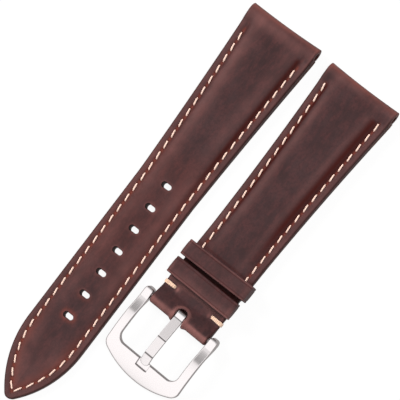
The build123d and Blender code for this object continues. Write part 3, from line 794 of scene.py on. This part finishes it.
# Lug, flank, fold and neck marks are partly painted highlight; the valley, band and keeper marks are painted shade
# and shadow.
buckleMarks = dict(
    halfMarks, lug=(0.26, 1.9, 1.0), leftFlank=(0.3, 4.35, 1.1), rightFlank=(0.2, 5.15, 1.0),
    leftValley=0.95, band=(1.0, 3.35, 0.9), fold=1.5, foldFrom=(74.9, 1.2),
    slotPull=(0.9, 0.55, 0.55), slotFrom=72.0,
    neckHighlight=(0.35, 69.0, 0.6), neckDark=(0.3, 72.2, 1.8), tackPull=(0.9, 5.3, 0.6), tackLength=0.8,
    keeperGapShade=(1.6, 63.0, 0.8), keeperGapShadow=(0.85, 63.0, 0.7), keeperEdgeShade=(0.4, 57.4, 0.35))


def needleSpots(cut):
    # The two needle holes of every stitch, as distance from the middle line and t.
    x, t, ax, at = stitchLines(cut, cut["slant"])
    ends = np.array([[1], [-1]]) * cut["stitch"] / 2
    return zip(np.abs(x + ends * ax).ravel(), (t + ends * at).ravel())


def leatherMarks(cut, marks, spots, side):
    # Point attributes: where the leather is pulled up or bears a painted highlight, turns red, has edge paint, or
    # takes painted shade and painted shadow.
    x, t, d, up = spots.x, spots.t, spots.d, spots.up
    gap, rise, station = spots.gap, spots.rise, spots.station
    sewn = rises(t, *marks["sewnFrom"]) * falls(t, cut["sewnTo"], 1.0) * up
    cloud = 0.5 + 0.5 * waves(x, t, 11, (9.0, 4.0))
    swell = np.maximum(rise, marks["swell"] * falls(t, *marks["swellEnds"])) * up
    # The roll's front is lighter where pulled up round it; the band behind it on the top is partly a painted
    # sheen.
    pullAndHighlight = glow(spots.front, marks["front"]) * (station < 8) + glow(t, marks["lug"]) * up
    # The flanks are lighter, partly pulled up and partly painted highlight that offsets the lamps' shade on the
    # right flank.
    pullAndHighlight += swell * ((x < 0) * glow(d, marks["leftFlank"]) + (x > 0) * glow(d, marks["rightFlank"]))
    pullAndHighlight += sewn * glow(d, marks["seam"]) + up * glow(d, marks["rim"])
    ember = sewn * glow(d, marks["holeEmber"]) * (0.5 - 0.5 * spots.phase)
    ember += (0.3 + 0.5 * cloud) * glow(t, marks["lugEmber"]) * up
    # Painted shade in the valley just inside the seam, its depth given for each side.
    valleyShade = sewn * np.where(x > 0, marks["rightValley"], marks["leftValley"]) * glow(d, marks["valleyShade"])
    valleyShade *= np.clip((rise - 0.3) * 2.0, 0.15, 1)
    if cut["tip"]:
        nearTip = rises(t, *marks["tipFrom"]) * up
        # Past the tail's middle its right flank gets a painted highlight that lifts the lamps' shade.
        waist = rises(t, *marks["waistFrom"]) * falls(t, *marks["waistTo"]) * up * (x > 0)
        pullAndHighlight += nearTip * (marks["tipPull"] * rises(d, *marks["tipPullFrom"]) + glow(d, marks["tipRim"]))
        pullAndHighlight += glow(gap, marks["holePull"]) + glow(d, marks["waist"]) * waist
        ember += glow(gap, marks["holeRed"]) * rises(station, *marks["holeRedFrom"])
        ember += marks["red"] * up * rises(t, *marks["redFrom"]) * falls(t, *marks["redTo"])
        ember += up * rises(t, *marks["tipRedFrom"]) * glow(d, marks["tipRed"])
        ember += sewn * glow(d, marks["seamRed"]) * (t > marks["seamRedFrom"])
        # Painted shadow: a dark crescent at the left end of every hole, on the top and inside its edge.
        paintedShadow = up * falls(gap, *marks["holeShadow"]) * falls(x, *marks["holeShadowFrom"])
    else:
        # The fold round the bar is lighter: pulled-up leather and a painted highlight on its round.
        folded = rises(t, *marks["foldFrom"]) * (station < 80)
        pullAndHighlight += marks["fold"] * folded * (0.6 + 0.4 * cloud)
        pullAndHighlight += glow(gap, marks["slotPull"]) * (t > marks["slotFrom"])
        # The neck gets a painted highlight on the slope below the fixed keeper and is darker toward the fold.
        pullAndHighlight += up * (glow(t, marks["neckHighlight"]) - glow(t, marks["neckDark"]))
        pullAndHighlight += up * glow(np.abs(x), marks["tackPull"]) * bell(t, cut["tackAt"], marks["tackLength"])
        # Painted shade in the gap between the keepers and in a line beside the sliding keeper's edge.
        valleyShade += np.clip(glow(station, marks["keeperGapShade"]), 0, 1) + glow(station, marks["keeperEdgeShade"])
        # Painted shadow in the gap between the two keepers.
        paintedShadow = glow(station, marks["keeperGapShadow"])
    # On the walls the light tone is painted light that lifts the lamps' shade.
    pullAndHighlight = pullAndHighlight * (0.45 + 0.9 * cloud) * side + 0.4 * (1 - side) * (d < 0.1)
    paint = marks["paint"] * (1 - smooth(d / marks["paintWidth"]))
    paint *= 0.3 + 0.7 * rises(t, *marks["paintFrom"])
    # Painted shade: darkest round every stitch hole, then the seam valley, the right flank's band and the
    # openings' walls are added.
    paintedShade = np.zeros_like(x)
    near = np.abs(d - cut["seam"]) < 0.8
    for nx, nt in needleSpots(cut):
        gone = (np.abs(x[near]) - nx) ** 2 + (t[near] - nt) ** 2
        paintedShade[near] = np.maximum(paintedShade[near], np.exp(-gone / marks["needleReach"] ** 2))
    # A band of painted shade on the right flank, facing away from the key lamp, fading where the crown flattens.
    shaded = sewn * glow(d, marks["band"]) * (x > 0) * np.clip((rise - 0.35) * 2.2, 0, 1)
    # Painted shade on the walls of the holes and the slot.
    wallShade = marks["wall"] * (1 - side) * (d > 0.1) * (gap < 0.05)
    values = {"pullAndHighlight": pullAndHighlight, "ember": ember * side, "paintedShadow": paintedShadow,
              "edge": np.maximum(paint * side, (1 - side) * (d > 0.1)),
              "paintedShade": np.maximum.reduce([paintedShade * up * side, valleyShade, shaded, wallShade])}
    return {title: np.clip(value, 0, 1) for title, value in values.items()}


def prepare(cut):
    # The sheet's path, and what follows from it: where seam and crown end, and where the slot lies.
    path = sheetPath(cut)
    if cut["tip"]:
        cut["sewnTo"], cut["crownTo"] = cut["length"] + 5, cut["length"] + 5
        return path
    cut["sewnTo"], cut["crownTo"] = cut["flapStart"] + 0.4, cut["fillerEnd"]
    onFold = path["station"] > cut["neckStart"]
    t, station = path["t"][onFold], path["station"][onFold]
    front, back = station[np.argmax(t)], np.interp(cut["slotBack"], t[:60], station[:60])
    under = 2 * front - back - cut["slotShort"]
    cut["slotMiddle"] = (back + under) / 2
    cut["slotStraight"] = (under - back) / 2 - cut["slotHalf"]
    cut["holes"] = [cut["slotMiddle"]]
    cut["window"] = (cut["slotStraight"] + cut["slotHalf"] + cut["slotMargin"], cut["slotAside"])
    return path


def leatherPiece(title, half, cut, marks):
    path = prepare(cut)
    x, station, side, faces = leatherSheet(cut, path)
    spots = Spots(cut, path, station, x)
    height = heightOver(cut, spots)
    outT, outZ = spots.t + spots.nt * height, spots.z + spots.nz * height
    inT, inZ = along(path, "innerT", station), along(path, "innerZ", station)
    padded = rises(station, 6.8, 1.0) * falls(station, cut["crownTo"], 1.0)
    inZ = inZ + padded * crownHeight(cut, inT, edgeDistance(cut, x, inT), x, 0.5)
    points = placed(half, x, inT + (outT - inT) * side, inZ + (outZ - inZ) * side)
    name, body, node = title + "_leather", title + "_half", title + "_upper"
    values = leatherMarks(cut, marks, spots, side)
    piece = meshPiece(name, body, points, faces, 42, leatherLook, node, values)
    print(name, len(piece.data.polygons), "faces")
    return path


tailPath = leatherPiece("tail", tailFrame, tailCut, tailMarks)
bucklePath = leatherPiece("buckle", buckleFrame, buckleCut, buckleMarks)


# Stitches

stitchCut = {"radius": 0.23, "sunk": 0.02, "dive": 0.42, "lead": 0.12, "turn": 1.15, "rings": 9, "sides": 7,
             "endTaper": 0.86, "underRadius": 0.13, "underHeight": 0.19, "underRise": 0.06}


def roundThread(axis, side, lift, radius, lay):
    # Tubes about many axes at once. Arrays: thread, ring, xyz in millimetres; returns points, faces and UVs.
    threads, rows = axis.shape[:2]
    sides = stitchCut["sides"]
    turn = np.linspace(0, 1, sides + 1)
    ring = (np.cos(turn * math.tau)[:, None] * side[..., None, :]
            + np.sin(turn * math.tau)[:, None] * lift[..., None, :])
    points = axis[..., None, :] + ring * radius[..., None, None]
    reach = np.linalg.norm(np.diff(axis, axis=1), axis=2)
    length = np.concatenate([np.zeros((threads, 1)), np.cumsum(reach, 1)], 1) / lay
    u, v = np.broadcast_arrays(turn[None, None], length[..., None])
    faces = []
    for offset in np.arange(threads) * rows * (sides + 1):
        faces += gridFaces(rows, sides + 1, offset) + endCaps(rows, sides + 1, int(offset), sides)
    return points * mm, faces, np.stack([u, v], -1)


def stitches(title, half, path, cut, under):
    x, t, ax, at = (values[:, None] for values in stitchLines(cut, -cut["slant"] if under else cut["slant"]))
    place = np.linspace(-1, 1, stitchCut["rings"])[None]
    reach = cut["stitch"] / 2 + (0 if under else stitchCut["lead"])
    x, t = x + place * reach * ax, t + place * reach * at
    full = np.sqrt(np.clip(1 - stitchCut["endTaper"] * np.abs(place) ** 6, 0, 1)) + 0 * x
    if under:
        nt, nz, radius = 0 * t, 1 + 0 * t, stitchCut["underRadius"]
        z = stitchCut["underHeight"] + stitchCut["underRise"] * np.abs(place) ** 4 + 0 * t
    else:
        nt, nz, radius = along(path, "nt", t), along(path, "nz", t), stitchCut["radius"]
        sink = cut["seamDip"] * 0.7 - stitchCut["sunk"] - radius * 0.5
        lower = sink + stitchCut["dive"] * np.abs(place) ** 5
        z, t = along(path, "z", t) - nz * lower, along(path, "t", t) - nt * lower
    axis = turned(half, x, t, z, half["origin"])
    side = turned(half, at + 0 * x, -ax + 0 * x, 0)
    points, faces, uv = roundThread(axis, side, turned(half, 0, nt, nz), radius * full, stitchCut["turn"])
    name, node = ("_under_stitches", "_bobbin_thread") if under else ("_stitches", "_needle_thread")
    meshPiece(title + name, title + "_half", points, faces, 60, threadLook, title + node, uv=uv)


halves = {"tail": (tailFrame, tailPath, tailCut), "buckle": (buckleFrame, bucklePath, buckleCut)}
for title, parts in halves.items():
    for under in (False, True):
        stitches(title, *parts, under)
print("stitches made")


# Tack stitches that close the fold behind the bar

tackCut = {"thread": 0.15, "turns": 5, "band": 0.78, "lift": 0.13, "corner": 0.32, "lean": 0.12, "lay": 0.9,
           "gather": 0.22, "ripple": 0.03, "rippleTurn": 2.1}


def tack(name, sign, node):
    # Turns lying side by side, each from inside the top face, round the edge and back underneath.
    inside, edge = buckleCut["tackInside"], buckleCut["endHalf"] + buckleCut["flare"] + tackCut["lift"]
    high, low, r = buckleCut["neckHeight"] + tackCut["lift"], -tackCut["lift"], tackCut["corner"]
    line = even(np.vstack([
        [(inside, high - 0.5), (inside + 0.1, high - 0.12), (inside + 0.35, high)],
        arcPoints((edge - r, high - r), r, 90, 0, 7), arcPoints((edge - r, low + r), r, 0, -90, 7),
        [(inside + 0.35, low), (inside + 0.1, low + 0.12), (inside, low + 0.5)]]), 34)
    ahead = np.gradient(line, axis=0)
    ahead /= np.linalg.norm(ahead, axis=1)[:, None]
    turns = (np.arange(tackCut["turns"]) - (tackCut["turns"] - 1) / 2)[:, None]
    share = np.linspace(-1, 1, len(line))[None]
    spacing = tackCut["band"] / (tackCut["turns"] - 1) * (1 - tackCut["gather"] * np.abs(share) ** 3)
    t = buckleCut["tackAt"] + turns * spacing + tackCut["lean"] * share
    ripple = tackCut["ripple"] * np.cos(turns * tackCut["rippleTurn"])
    x, z = sign * line[:, 0] + 0 * t, line[:, 1] + ripple + 0 * t
    axis = turned(buckleFrame, x, t, z, buckleFrame["origin"])
    out = turned(buckleFrame, sign * -ahead[:, 1] + 0 * t, 0, ahead[:, 0] + 0 * t)
    radius = np.full(t.shape, tackCut["thread"])
    points, faces, uv = roundThread(axis, turned(buckleFrame, 0 * t, 1, 0), out, radius, tackCut["lay"])
    meshPiece(name, "buckle_half", points, faces, 60, tackLook, node, uv=uv)


tack("left_tack", -1, "tack_stitch_left")
tack("right_tack", 1, "tack_stitch_right")


# Keepers

keeperCut = dict(leather=0.9, corner=0.5, edge=0.26, bulge=0.07, crease=(0.07, 0.62, 0.13), ripple=0.05,
                 sway=0.04, creaseShade=(0.45, 0.62, 0.14), rimPullAndHighlight=0.3)
slidingCut = dict(keeperCut, start=57.9, band=4.6, half=9.42, low=-0.25, high=4.65, lowCorner=0.5, under=0.9,
                  turn=1.1, lighterTowardBar=0.0, seed=17)
fixedCut = dict(keeperCut, start=63.5, band=4.8, half=9.25, low=1.3, high=4.95, lowCorner=0.12, under=0.5,
                turn=0.0, lighterTowardBar=0.35, seed=21)
keeperOffsets = np.array([0.0, 0.02, 0.06, 0.12, 0.19, 0.26, 0.36, 0.48, 0.56, 0.62, 0.68, 0.76, 0.9, 1.15])


def loopPath(cut):
    # A rounded rectangle from its lower right corner round: x, z and the outward normal.
    half, low, high, r = cut["half"], cut["low"], cut["high"], cut["corner"]
    corners = [(half, low, cut["lowCorner"], -90), (half, high, r, 0), (-half, high, r, 90),
               (-half, low, cut["lowCorner"], 180)]
    places, normals = [], []
    for x, z, r, start in corners:
        centre = (x - math.copysign(r, x), z + r if z == low else z - r)
        places.append(arcPoints(centre, r, start, start + 90, 9))
        normals.append(arcPoints((0, 0), 1, start, start + 90, 9))
    allPlaces, allNormals = [], []
    for i in range(4):
        start, end = places[i][-1], places[(i + 1) % 4][0]
        share = np.linspace(0, 1, max(int(np.hypot(*(end - start)) / 0.5), 2) + 1)[1:-1, None]
        allPlaces += [places[i], start + (end - start) * share]
        allNormals += [normals[i], np.repeat(normals[i][-1:], len(share), 0)]
    return np.vstack(allPlaces), np.vstack(allNormals)


def keeper(name, body, node, cut):
    # The band's section goes round the loop: a softly bowed face with a crease inside each rounded rim.
    places, normals = loopPath(cut)
    half, thick, near = cut["band"] / 2, cut["leather"], keeperOffsets
    middle = np.linspace(near[-1] - half, half - near[-1], 7)[1:-1]
    w = np.concatenate([near - half, middle, half - near[::-1]])
    inset = half - np.abs(w)
    face = thick - roundedOff(inset, cut["edge"]) - glow(inset, cut["crease"])
    face += cut["bulge"] * (1 - (w / half) ** 2)
    w = np.concatenate([w, [half, half, half - 0.1, 0, 0.1 - half, -half, -half]])
    r = np.concatenate([face, [0.4, 0.1, 0, 0, 0, 0.1, 0.4]])
    onFace = np.concatenate([np.ones(len(face)), np.zeros(7)])
    top = smooth((places[:, 1:] - places[:, 1].min()) / 0.9)
    thickness = r * (cut["under"] + (thick - cut["under"]) * top) / thick
    x, z = places[:, :1] + normals[:, :1] * thickness, places[:, 1:] + normals[:, 1:] * thickness
    wide = w[None] + 0 * x
    z = z + cut["ripple"] * waves(x, wide + z, cut["seed"], (9.0, 5.0)) * onFace * top * normals[:, 1:]
    t = cut["start"] + half + wide - x * math.tan(math.radians(cut["turn"]))
    t += cut["sway"] * waves(x, z, cut["seed"] + 3, (12.0,))
    inset = half - np.abs(wide)
    cloud = 0.5 + 0.5 * waves(x, wide, cut["seed"] + 5, (7.0, 3.0))
    # The rims and the loop's corners are lighter, pulled up and painted as highlight; the crease inside each rim
    # takes painted shade.
    bend = bell(np.abs(normals[:, :1] * normals[:, 1:]), 0.5, 0.3)
    # The fixed keeper is also made lighter towards the bar.
    pullAndHighlight = cut["rimPullAndHighlight"] * onFace * (bell(inset, 0.3, 0.22) + bend) + cut["lighterTowardBar"] * (wide / half)
    marks = {"pullAndHighlight": np.clip(pullAndHighlight * (0.5 + 0.8 * cloud), 0, 1), "edge": 1 - onFace + 0 * x,
             "paintedShade": glow(inset, cut["creaseShade"]) * onFace}
    faces = gridFaces(len(x), len(w), 0, True, True)
    meshPiece(name, body, placed(buckleFrame, x, t, z), faces, 60, keeperLook, node, marks)


keeper("sliding_loop", "floating_keeper", "floating_keeper", slidingCut)
keeper("fixed_loop", "buckle_half", "fixed_keeper", fixedCut)
print("keepers made")


# Steel buckle, measured forward from the bar's axis and up from it

droop = math.radians(9.247)
steelFrame = {"origin": np.array(jointAt["buckle_hinge"]["pos_m"]) / mm, "across": np.array([1.0, 0, 0]),
              "back": np.array([0, math.cos(droop), math.sin(droop)]),
              "up": np.array([0, -math.sin(droop), math.cos(droop)])}

frameCut = {"half": 9.525, "arm": 2.5, "boss": 1.5, "slopeStart": 1.6, "slopeMiddle": (3.7, 2.14),
            "slopeEnd": 5.8, "bendSoftness": 0.13, "plateTop": 3.0, "thickness": 1.7, "crest": (13.05, 3.35),
            "front": (20.3, 1.6), "corner": 16.8, "outerRound": 2.6, "innerRound": 2.3, "opening": 14.1,
            "rim": 0.42, "lowRim": 0.25, "rimShare": 0.42, "notchHalf": 1.75, "notchShare": 0.355,
            "notchDepth": 0.5, "notchReflection": 0.8, "armReflection": 0.15, "rimReflection": 0.5, "bendReach": 1.2,
            "bossLip": (0.05, 1.6, 0.7), "sideFlare": 0.06}
plateShares = np.array([0.1, 0.2, 0.29, 0.33, 0.348, 0.362, 0.38, 0.44, 0.55, 0.68, 0.8, 0.9])


def quarterRound(radius, degrees):
    # How far in from its side and how far down from its top a rounded rim lies at each turn.
    turn = np.radians(degrees)
    return radius * (1 - np.cos(turn)), radius * (1 - np.sin(turn))


def threePointArc(start, middle, end, at):
    # Height of the circle through three points at the given places.
    (ax, ay), (bx, by), (cx, cy) = start, middle, end
    d = 2 * (ax * (by - cy) + bx * (cy - ay) + cx * (ay - by))
    a2, b2, c2 = ax * ax + ay * ay, bx * bx + by * by, cx * cx + cy * cy
    ux = (a2 * (by - cy) + b2 * (cy - ay) + c2 * (ay - by)) / d
    uy = (a2 * (cx - bx) + b2 * (ax - cx) + c2 * (bx - ax)) / d
    side = 1 if by > uy else -1
    return uy + side * np.sqrt(np.maximum(math.hypot(ax - ux, ay - uy) ** 2 - (at - ux) ** 2, 0))


def bossHeight(f):
    # The boss round the bar is a squared circle behind its axis.
    return np.clip(frameCut["boss"] ** 4 - np.minimum(f, 0) ** 4, 0, None) ** 0.25


def plateHeight(f):
    cut = frameCut
    return threePointArc((cut["slopeEnd"], cut["plateTop"]), cut["crest"], cut["front"], f)


def frameTop(f):
    # The slope runs out under the plate, and the lower of the two is taken with a rounded change.
    cut, plate, start = frameCut, plateHeight(f), frameCut["slopeStart"]
    slope = threePointArc((start, cut["boss"]), cut["slopeMiddle"], (cut["slopeEnd"], cut["plateTop"]), f)
    sloped = (slope + plate - np.hypot(slope - plate, cut["bendSoftness"])) / 2
    sloped = np.where(f > cut["slopeEnd"] + cut["bendReach"], plate, sloped)
    return np.where(f < start, bossHeight(f), sloped) + glow(f, cut["bossLip"])


def frameUnder(f):
    boss, slopeEnd, thickness = frameCut["boss"], frameCut["slopeEnd"], frameCut["thickness"]
    rise = smooth(f / slopeEnd) * (frameCut["plateTop"] - thickness + boss) - boss
    return np.where(f < 0, -bossHeight(f), np.where(f < slopeEnd, rise, plateHeight(f) - thickness))


def frameRows():
    # Paired places on the outer and inner outline from an arm's end to the middle of the front.
    cut, reachF, notch = frameCut, frameCut["front"][0], frameCut["notchHalf"]
    half, outerHalf, innerRound = cut["half"], cut["half"] + cut["arm"], cut["innerRound"]
    armEnd, innerX = cut["opening"] - innerRound, half - innerRound
    behind = -cut["boss"] * np.cos(np.radians(np.linspace(4, 90, 14)))
    arm = np.concatenate([behind, [0.5, 1.0, 1.3], np.linspace(1.6, 6.8, 25), np.linspace(7.3, armEnd, 7)])
    bow = (outerHalf ** 2 + (reachF - cut["corner"]) ** 2) / (2 * (reachF - cut["corner"]))
    centreF, r = reachF - bow, cut["outerRound"]
    cornerX = outerHalf - r
    cornerF = centreF + math.sqrt((bow - r) ** 2 - cornerX ** 2)
    turn = math.degrees(math.atan2(cornerF - centreF, cornerX))
    line = np.vstack([[(outerHalf, armEnd)], arcPoints((cornerX, cornerF), r, 0, turn, 20),
                      arcPoints((0, centreF), bow, turn, 90, 200)])
    frontX = np.concatenate([np.linspace(innerX, 2.2, 9)[1:],
                             notch + np.array([0.12, 0.05, 0.015, -0.015, -0.05, -0.12]), [1.2, 0.6, 0.0]])
    # The corner's rows reach the front arc a little wider than the inner x, those at the notch share it.
    length = lengthAlong(line)
    at = np.linspace(0, 1, 18)[1:] * np.interp(-innerX * (1 + cut["sideFlare"]), -line[:, 0], length)
    corner = np.stack([np.interp(at, length, line[:, 0]), np.interp(at, length, line[:, 1])], 1)
    restX = frontX * (1 + cut["sideFlare"] * np.clip((frontX - notch) / (innerX - notch), 0, 1))
    rest = np.stack([restX, centreF + np.sqrt(bow ** 2 - restX ** 2)], 1)
    pinch = 1 - (1 - np.clip(-arm / cut["boss"], 0, 1) ** 2.6) ** (1 / 2.6)
    pinch *= cut["arm"] / 2
    outer = np.vstack([np.stack([outerHalf - pinch, arm], 1), corner, rest])
    inner = np.vstack([np.stack([half + pinch, arm], 1),
                       arcPoints((innerX, armEnd), innerRound, 0, 90, 18)[1:],
                       np.stack([frontX, 0 * frontX + cut["opening"]], 1)])
    return outer, inner


def frameMesh():
    # Every row goes from the inner edge over the top to the outer edge and back below; the notch is cut in.
    cut = frameCut
    outer, inner = (np.vstack([line * [-1, 1], line[-2::-1]]) for line in frameRows())
    width = np.hypot(*(inner - outer).T)[:, None]
    rim, low = (np.minimum(cut[key], width * cut["rimShare"]) for key in ("rim", "lowRim"))
    topIn, topDrop = quarterRound(rim, np.linspace(0, 90, 7))
    lowIn, lowRise = quarterRound(low, np.linspace(0, 90, 4))
    between = np.clip(rim + (width - 2 * rim) * (plateShares - 0.06) / 0.9, rim, width - rim)
    drop = np.hstack([topDrop, 0 * between, topDrop[:, ::-1]])
    rise = np.hstack([lowRise, 0 * width, lowRise[:, ::-1]])
    aside = np.hstack([topIn, between, width - topIn[:, ::-1], width - lowIn, width / 2, lowIn[:, ::-1]])
    plan = inner[:, None] + ((outer - inner) / width)[:, None] * aside[..., None]
    x, f, share = plan[..., 0], plan[..., 1], aside / width
    top, count = frameTop(f), drop.shape[1]
    onTop = np.arange(x.shape[1]) < count
    z = np.hstack([top[:, :count] - drop, frameUnder(f)[:, count:] + rise])
    inNotch = smooth((cut["notchHalf"] - np.abs(x)) / 0.03 + 0.5)
    inNotch *= smooth((cut["notchShare"] - share) / 0.012 + 0.5)
    z = np.where(onTop & (inNotch > 0), np.minimum(z, top - cut["notchDepth"] * inNotch), z)
    # Painted reflection: the notch's walls and the rounded rims, less on the arms, are darkened.
    sideWall = (np.abs(np.abs(x) - cut["notchHalf"]) < 0.06) * (share < cut["notchShare"])
    endWall = (np.abs(share - cut["notchShare"]) * width < 0.09) * (np.abs(x) < cut["notchHalf"])
    bend = cut["notchReflection"] * (sideWall | endWall) * onTop
    rimReflection = np.where(f[:, :count] < 4, cut["armReflection"], cut["rimReflection"]) * smooth((drop / rim - 0.3) / 0.5)
    bend[:, :count] = np.maximum(bend[:, :count], rimReflection)
    return x, f, z, bend


def steelPiece(name, body, node, x, f, z, bend):
    faces = gridFaces(*x.shape, 0, False, True) + endCaps(*x.shape)
    meshPiece(name, body, placed(steelFrame, x, f, z), faces, 40, steelLook, node, {"bend": bend})


steelPiece("steel_frame", "buckle", "buckle_frame", *frameMesh())

tongueCut = {"half": 1.3, "thick": 0.9, "eye": 1.25, "bends": [(0.42, 1.25), (6.7, 2.9), (11.9, 3.8)],
             "tip": (15.0, 2.88), "tipThick": 0.55, "tipRound": 1.1, "tipNarrowing": 0.985, "rim": 0.16,
             "groove": 0.05, "grooveWidth": 0.09, "reflectionWidth": 0.13, "darkReflection": 0.6}
nearBend = np.array([0.03, 0.07, 0.13, 0.3])


def tongueLine():
    # The strip's middle line: round the bar from below, over the three bends and down to the tip.
    cut = tongueCut
    turn = np.radians(np.linspace(298, 78, 60))
    power = np.where(np.sin(turn) > 0, 5.0, 2.0)
    square = (np.abs(np.cos(turn)) ** power + np.abs(np.sin(turn)) ** power) ** (-1 / power)
    line = [cut["eye"] * np.stack([np.cos(turn), np.sin(turn)], 1) * square[:, None]]
    places = [line[0][-1]] + cut["bends"] + [cut["tip"]]
    for start, end in zip(np.array(places[:-1]), np.array(places[1:])):
        reach = math.hypot(*(end - start))
        middle = np.linspace(0.4, reach - 0.4, 7)
        share = np.concatenate([nearBend, middle, reach - nearBend[::-1], [reach]]) / reach
        share = np.unique(share[(share > 0) & (share <= 1)])
        line.append(start + (end - start) * share[:, None])
    return np.vstack(line)


def tongueMesh():
    cut, line = tongueCut, tongueLine()
    length = lengthAlong(line)
    tipFrom = length[-1] - cut["tipRound"]
    dense = tipFrom + cut["tipRound"] * np.sin(np.radians(np.linspace(0, 88, 12)))
    at = np.unique(np.concatenate([length[length < tipFrom], dense]))
    f, z = np.interp(at, length, line[:, 0]), np.interp(at, length, line[:, 1])
    df, dz = np.gradient(f, at), np.gradient(z, at)
    size = np.hypot(df, dz)
    nf, nz = -dz / size, df / size
    tip = np.clip((at - tipFrom) / cut["tipRound"], 0, 1)
    half = cut["half"] * np.sqrt(1 - cut["tipNarrowing"] * tip ** 2.4)
    thin = np.interp(f, [cut["bends"][2][0], cut["tip"][0]], [cut["thick"], cut["tipThick"]])
    rim = np.minimum(cut["rim"], half * 0.5)[:, None]
    groove = sum(bell(f, at, cut["grooveWidth"]) for at, _ in cut["bends"]) * (z > 0.9) * cut["groove"]
    inward, drop = quarterRound(1.0, [0, 25, 45, 65, 90])
    sign = np.array([1.0] * 5 + [0.4, -0.4] + [-1.0] * 5)
    inward, drop = np.concatenate([inward, [0, 0], inward[::-1]]), np.concatenate([drop, [0, 0], drop[::-1]])
    x = half[:, None] * sign - rim * inward * np.sign(sign)
    high, low = (thin / 2 - groove)[:, None] - rim * drop, rim * drop[::-1] - (thin / 2)[:, None]
    # Painted reflection: darkened across the top of each crease of the strip, at the tip and along the rounded
    # rims.
    bend = np.clip(sum(bell(f, at, cut["reflectionWidth"]) for at, _ in cut["bends"]) * (z > 0.9) * 1.1, 0, 1)
    bend = np.maximum(bend, cut["darkReflection"] * rises(tip, 0.8, 0.15))
    bend = np.hstack([np.maximum(bend[:, None], cut["darkReflection"] * rises(drop, 0.2, 0.6)), 0 * x])
    x, h = np.hstack([x, x[:, ::-1]]), np.hstack([high, low])
    return x, f[:, None] + nf[:, None] * h, z[:, None] + nz[:, None] * h, bend


steelPiece("steel_tongue", "tongue", "buckle_tongue", *tongueMesh())
print("steel made")


# Floor, light and camera

def floorSheet():
    # A white table: nearly even white to the camera, dull in the steel, a pale sheet to all other light.
    s = newShader("white_table")
    look = s.finish(Base_Color=(0.86, 0.86, 0.86), Roughness=0.9, Specular_IOR_Level=0.1)
    plain = Value(s, s.tree.nodes["Principled BSDF"].outputs[0])
    bright = s.add("ShaderNodeEmission", None, {"Color": (1.0, 1.0, 1.0), "Strength": 1.0})
    dull = s.add("ShaderNodeEmission", None, {"Color": (1.0, 0.97, 0.96), "Strength": 0.4})
    sheet = s.add("ShaderNodeMixShader", None, {0: s.ray("Glossy"), 1: plain, 2: dull})
    both = s.add("ShaderNodeMixShader", None, {0: s.ray("Camera") * 0.92, 1: sheet, 2: bright})
    s.feed(s.tree.nodes["Material Output"], {"Surface": both})
    mesh = bpy.data.meshes.new("table")
    mesh.from_pydata([(-0.5, -0.5, 0), (0.5, -0.5, 0), (0.5, 0.5, 0), (-0.5, 0.5, 0)], [], [(0, 1, 2, 3)])
    mesh.materials.append(look)
    table = bpy.data.objects.new("table", mesh)
    table.location.z = -0.00005
    bpy.context.scene.collection.objects.link(table)


def areaLight(name, place, size, power, colour):
    # A round lamp that looks at the middle of the table and doesn't show in the steel.
    data = bpy.data.lights.new(name, "AREA")
    data.shape, data.size, data.energy, data.color = "DISK", size, power, colour
    light = bpy.data.objects.new(name, data)
    light.location = place
    light.rotation_euler = (-Vector(place)).to_track_quat("-Z", "Y").to_euler()
    light.visible_glossy = False
    bpy.context.scene.collection.objects.link(light)


def paleWorld():
    # An even pale room with a dark card on the far side, plain white to the camera.
    world = bpy.data.worlds.new("room")
    bpy.context.scene.world = world
    s = Shader(world)
    way = s.add("ShaderNodeTexCoord", out="Generated")
    card = way.axis("Y").between(-0.14, 0.46) * (1.0 - way.axis("X").math("ABSOLUTE").between(0.5, 0.8))
    low = 1.0 - way.axis("Z").between(0.05, 0.55)
    shine = (1.14 - card * 0.86) * (1.0 - low * 0.55)
    light = 0.34 + s.ray("Glossy") * (shine - 0.34)
    strength = light + s.ray("Camera") * (1.0 - light)
    s.feed(s.tree.nodes["Background"], {"Color": (1.0, 1.0, 1.0), "Strength": strength})


floorSheet()
areaLight("key", (-0.75, 0.1, 0.65), 0.5, 8.5, (1.0, 0.95, 0.92))
areaLight("top", (0.3, 0.2, 0.85), 0.4, 6.0, (1.0, 0.97, 0.97))
paleWorld()

aim, distance = Vector((-0.00324, 0.01073, 0.002)), 0.572
lean, roll = math.radians(14), math.radians(38.73)
toCamera = Vector((math.sin(lean), 0, math.cos(lean)))
level = Vector((math.cos(lean), 0, -math.sin(lean)))
right = level * math.cos(roll) + Vector((0, math.sin(roll), 0))
upward = level * -math.sin(roll) + Vector((0, math.cos(roll), 0))
lens = bpy.data.cameras.new("camera")
lens.type, lens.lens, lens.sensor_width, lens.clip_start = "PERSP", 200, 36, 0.01
camera = bpy.data.objects.new("camera", lens)
camera.matrix_world = Matrix((right, upward, toCamera)).transposed().to_4x4()
camera.location = aim + toCamera * distance
bpy.context.scene.collection.objects.link(camera)
bpy.context.scene.camera = camera
bpy.context.scene.view_settings.view_transform = "Standard"
print("lights and camera placed")
